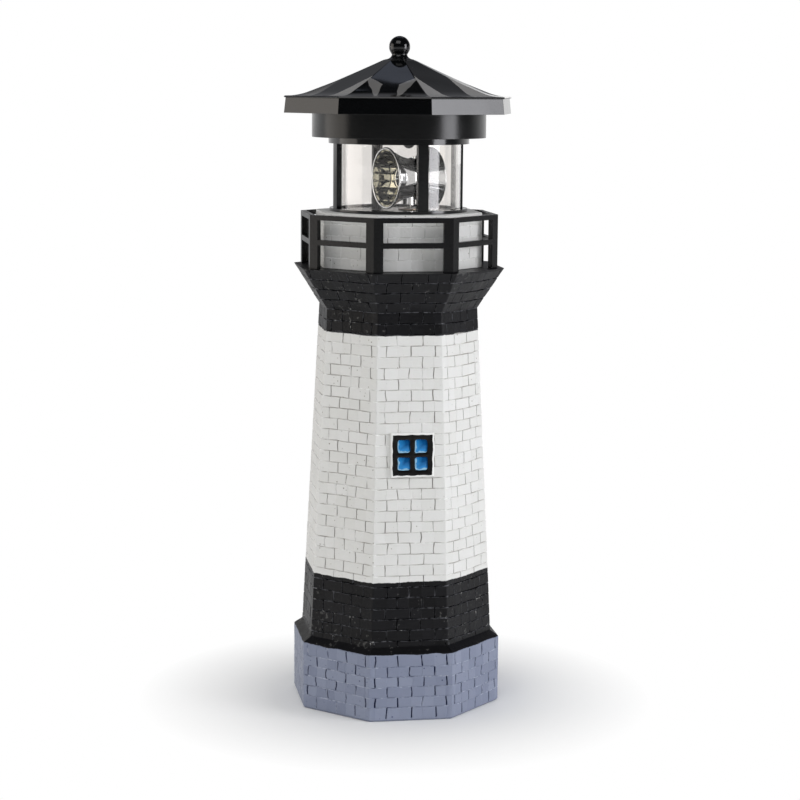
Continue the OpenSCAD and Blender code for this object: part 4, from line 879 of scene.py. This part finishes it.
def reflector_cup(name, node, turn):
    """A vacuum-plated cup: square pillow facets inside, a rolled rim, and a plain horn behind."""
    def horn(x):
        return HUB_R + (CUP_R + CUP_WALL - HUB_R) * (x / (THROAT_X + CUP_DEPTH)) ** HORN_BEND

    focal = (CUP_R ** 2 - THROAT_R ** 2) / CUP_DEPTH
    rim_x = THROAT_X + CUP_DEPTH
    bowl = [THROAT_R + (CUP_R - THROAT_R) * k / CUP_RINGS for k in range(CUP_RINGS + 1)]
    rows = [(r, THROAT_X + (r * r - THROAT_R ** 2) / focal, 1) for r in bowl]
    bead_r, bead = CUP_R + CUP_WALL / 2, 0.5
    rows += [(bead_r - bead * math.cos(math.radians(a)), rim_x + bead * math.sin(math.radians(a)), 0)
             for a in range(15, 196, 20)]
    rows += [(horn(x), x, 0) for x in (rim_x - 0.5, 9, 7.8, 6.6, 5.6, 4.8, THROAT_X - 0.18)]
    rows += [(THROAT_R - 0.6, THROAT_X - 0.18, 0), (THROAT_R - 0.6, THROAT_X, 0)]
    axis = Vector((math.cos(math.radians(turn)), math.sin(math.radians(turn)), 0))
    side = Vector((-axis.y, axis.x, 0))
    centre = Vector((SPINDLE_X, 0, BEAM_Z))
    points, facets, grooves = [], [], []
    for r, x, facet in rows:
        for k in range(CUP_SPOKES):
            angle = 2 * math.pi * k / CUP_SPOKES
            across, above = r * math.cos(angle), r * math.sin(angle)
            swell = groove = 0
            if facet:
                fy, fz = (2 * ((c / pitch + 0.5) % 1) - 1
                          for c, pitch in ((across, FACET_WIDE), (above, FACET_HIGH)))
                # Painted shade: 1 at the creases between facets
                groove = max(abs(fy), abs(fz)) ** 5 if r < CUP_R - 0.6 else 0
                fade = min(1, (CUP_R - r) / 0.5, (r - THROAT_R) / 0.5)
                swell = FACET_RISE * (1 - abs(fy) ** 2.4) * (1 - abs(fz) ** 2.4) * fade
            lift = 1 / math.hypot(1, 2 * r / focal)
            out = x + swell * lift
            reach = r - swell * 2 * r / focal * lift
            points.append((centre + axis * out + side * reach * math.cos(angle)
                           + Vector((0, 0, reach * math.sin(angle)))) * MM)
            facets.append(facet)
            grooves.append(groove)
    faces = [tuple(reversed(face)) for face in grid_faces(len(rows), CUP_SPOKES, closed_rows=True)]
    piece = new_piece(name, points, faces, "rotor", PLATED_CUP)
    mark(piece.data, bowl=facets, groove=grooves)
    piece.data.set_sharp_from_angle(angle=math.radians(50))
    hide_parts(node)


reflector_cup("front_waffle_cup", "reflector_front", ROTOR_TURN + 180)
reflector_cup("rear_waffle_cup", "reflector_rear", ROTOR_TURN)


# ---------------------------------------------------------------- finishes of the model's own nodes

FINISHES = {
    SOLAR_CELLS: ["solar_panel"],
    BOARD: ["led_board", "control_board"],
    LED_EPOXY: ["led_lamp"],
    SILICONE: ["tube_gasket"],
    SATIN_ABS: ["motor_deck", "battery_door"],
    GLOSS_ABS: ["base_cover"],
    GREY_ABS: ["switch_body", "switch_knob"],
    NYLON: ["gear_bracket", "spindle_gear", "idler_gear"],
    SINTERED_BRONZE: ["spindle_bush"],
    BRASS: ["motor_pinion"],
    PLATED_NECK: ["rotor_hub"],
    PLATED_SHAFT: ["spindle", "idler_pin", "battery_spring", "battery_contact"],
    STEEL: ["cap_screws", "cage_screws", "deck_screws", "bracket_screws", "drive_motor", "motor_screws",
            "cover_screws", "door_screw"],
    SLEEVE: ["battery_cell"],
    RED_PVC: ["panel_lead", "motor_lead"],
    BLACK_PVC: ["lamp_lead", "battery_leads"]}
for finish, nodes in FINISHES.items():
    for node in nodes:
        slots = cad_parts[node].data.materials
        slots.clear()
        slots.append(finish)


# ---------------------------------------------------------------- studio

# Where the photograph was taken from: angles in degrees, lengths in metres
CAMERA_HEADING, CAMERA_TILT, CAMERA_ROLL = -9.3, 8.6, 0.45
CAMERA_DISTANCE, CAMERA_HEIGHT, CAMERA_SHIFT = 0.880, 0.261, 0.0013
FOCAL_PIXELS, FRAME_PIXELS, SENSOR = 2100, 800, 36

# Heading from the camera's side and tilt, in degrees; distance, width and height; strength; colour
SOFTBOXES = {
    "right_softbox": (69, 4, 1.0, 0.38, 0.9, 6.5, "#fafaff"),
    "left_softbox": (-91, 4, 1.0, 0.74, 0.9, 1.48, "#fff7ee"),
    "front_softbox": (-20, 52, 1.6, 1.2, 0.8, 1.7, "#ffffff"),
    "rear_left_panel": (-155, 15, 1.3, 0.45, 0.34, 0.9, "#f4efe8"),
    "rear_right_panel": (157, 15, 1.3, 0.5, 0.34, 0.9, "#f4efe8"),
    "ceiling_panel": (177, 60.9, 1.2, 0.7, 0.34, 0.42, "#dfe8ff")}
AIM_HEIGHT = 0.15

# The floor takes the object's shadow near it, and fades to the white surround between these reaches
FLOOR_R, SHADOW_NEAR, SHADOW_FAR = 6, 0.052, 0.11


def surround():
    """The room: white to the eye, plain grey as light, and dark in gloss but for its back."""
    world = bpy.data.worlds.new("studio")
    bpy.context.scene.world = world
    world.use_nodes = True
    tree = world.node_tree
    ray = add(tree, "LightPath")
    heading = add(tree, "SeparateXYZ", {"Vector": add(tree, "TexCoord").outputs["Generated"]})
    # In gloss the white shows only behind the object and low down
    behind = add(tree, "MapRange", {"Value": heading.outputs["Y"], "From Min": 0.1, "From Max": 0.6})
    low = add(tree, "MapRange", {"Value": heading.outputs["Z"], "From Min": 0.1, "From Max": 0.04})
    shown = add(tree, "Math", {0: behind, 1: low}, operation="MULTIPLY")
    for kind, joined in (("Glossy", "MULTIPLY"), ("Camera", "MAXIMUM"), ("Transmission", "MAXIMUM")):
        shown = add(tree, "Math", {0: shown, 1: ray.outputs[f"Is {kind} Ray"]}, operation=joined)
    dim = add(tree, "MapRange", {"Value": heading.outputs["Y"], "From Min": 0.2, "From Max": 0.7})
    lower = add(tree, "MapRange", {"Value": heading.outputs["Z"], "From Min": 0.7, "From Max": 0.55})
    dim = add(tree, "Math", {0: dim, 1: lower}, operation="MULTIPLY")
    dim = add(tree, "Mix", {"Factor": dim, "A": "#17181a", "B": "#6c6d71"}, data_type="RGBA")
    glossy = ray.outputs["Is Glossy Ray"]
    fill = add(tree, "Mix", {"Factor": glossy, "A": "#bfc0c3", "B": dim}, data_type="RGBA")
    light = add(tree, "Mix", {"Factor": shown, "A": fill, "B": "#ffffff"}, data_type="RGBA")
    feed(tree.nodes["Background"], {"Color": light})


def softboxes():
    """Area lamps aimed at the tower's middle, which the camera doesn't see."""
    aim = Vector((0, 0, AIM_HEIGHT))
    for name, (heading, tilt, distance, wide, high, strength, colour) in SOFTBOXES.items():
        lamp = bpy.data.lights.new(name, "AREA")
        lamp.shape, lamp.size, lamp.size_y = "RECTANGLE", wide, high
        lamp.color = linear(colour)[:3]
        lamp.energy = strength * wide * high * math.pi
        holder = bpy.data.objects.new(name, lamp)
        turn, lift = math.radians(heading - 90 + CAMERA_HEADING), math.radians(tilt)
        holder.location = aim + distance * Vector((
            math.cos(turn) * math.cos(lift), math.sin(turn) * math.cos(lift), math.sin(lift)))
        holder.rotation_euler = (holder.location - aim).to_track_quat("Z", "Y").to_euler()
        holder.visible_camera = False
        bpy.context.scene.collection.objects.link(holder)


def pale_floor():
    """Matt board that takes the object's shadow close to it, and is plain white further out."""
    floor = bpy.data.meshes.new("floor")
    work = bmesh.new()
    bmesh.ops.create_circle(work, cap_ends=True, radius=FLOOR_R, segments=64)
    work.to_mesh(floor)
    work.free()
    material, tree, surface, place = new_material("pale_floor", Base_Color="#f4f4f2", Roughness=0.9)
    ray = add(tree, "LightPath")
    far = add(tree, "VectorMath", {0: place}, operation="LENGTH").outputs["Value"]
    fade = add(tree, "MapRange", {"Value": far, "From Min": SHADOW_NEAR, "From Max": SHADOW_FAR})
    seen = add(tree, "Math", {0: ray.outputs["Is Camera Ray"], 1: ray.outputs["Is Transmission Ray"]},
               operation="MAXIMUM")
    fade = add(tree, "Math", {0: fade, 1: seen}, operation="MULTIPLY")
    white = add(tree, "Emission", {"Color": "#ffffff", "Strength": 1.0})
    mixed = add(tree, "MixShader", {0: fade, 1: surface, 2: white})
    feed(tree.nodes["Material Output"], {"Surface": mixed})
    floor.materials.append(material)
    ground = bpy.data.objects.new("floor", floor)
    bpy.context.scene.collection.objects.link(ground)


def photograph_camera():
    """The camera stands left of the front face and looks slightly down."""
    lens = bpy.data.cameras.new("camera")
    lens.sensor_width = SENSOR
    lens.lens = FOCAL_PIXELS / FRAME_PIXELS * SENSOR
    camera = bpy.data.objects.new("camera", lens)
    turn = math.radians(CAMERA_HEADING)
    view = Vector((-math.sin(turn), math.cos(turn), 0))
    right = Vector((math.cos(turn), math.sin(turn), 0))
    spot = -view * CAMERA_DISTANCE + right * CAMERA_SHIFT + Vector((0, 0, CAMERA_HEIGHT))
    camera.matrix_world = (Matrix.Translation(spot) @ Matrix.Rotation(turn, 4, "Z")
                           @ Matrix.Rotation(math.radians(90 - CAMERA_TILT), 4, "X")
                           @ Matrix.Rotation(math.radians(CAMERA_ROLL), 4, "Z"))
    bpy.context.scene.collection.objects.link(camera)
    bpy.context.scene.camera = camera


bpy.context.scene.view_settings.view_transform = "Standard"
photograph_camera()
surround()
softboxes()
pale_floor()
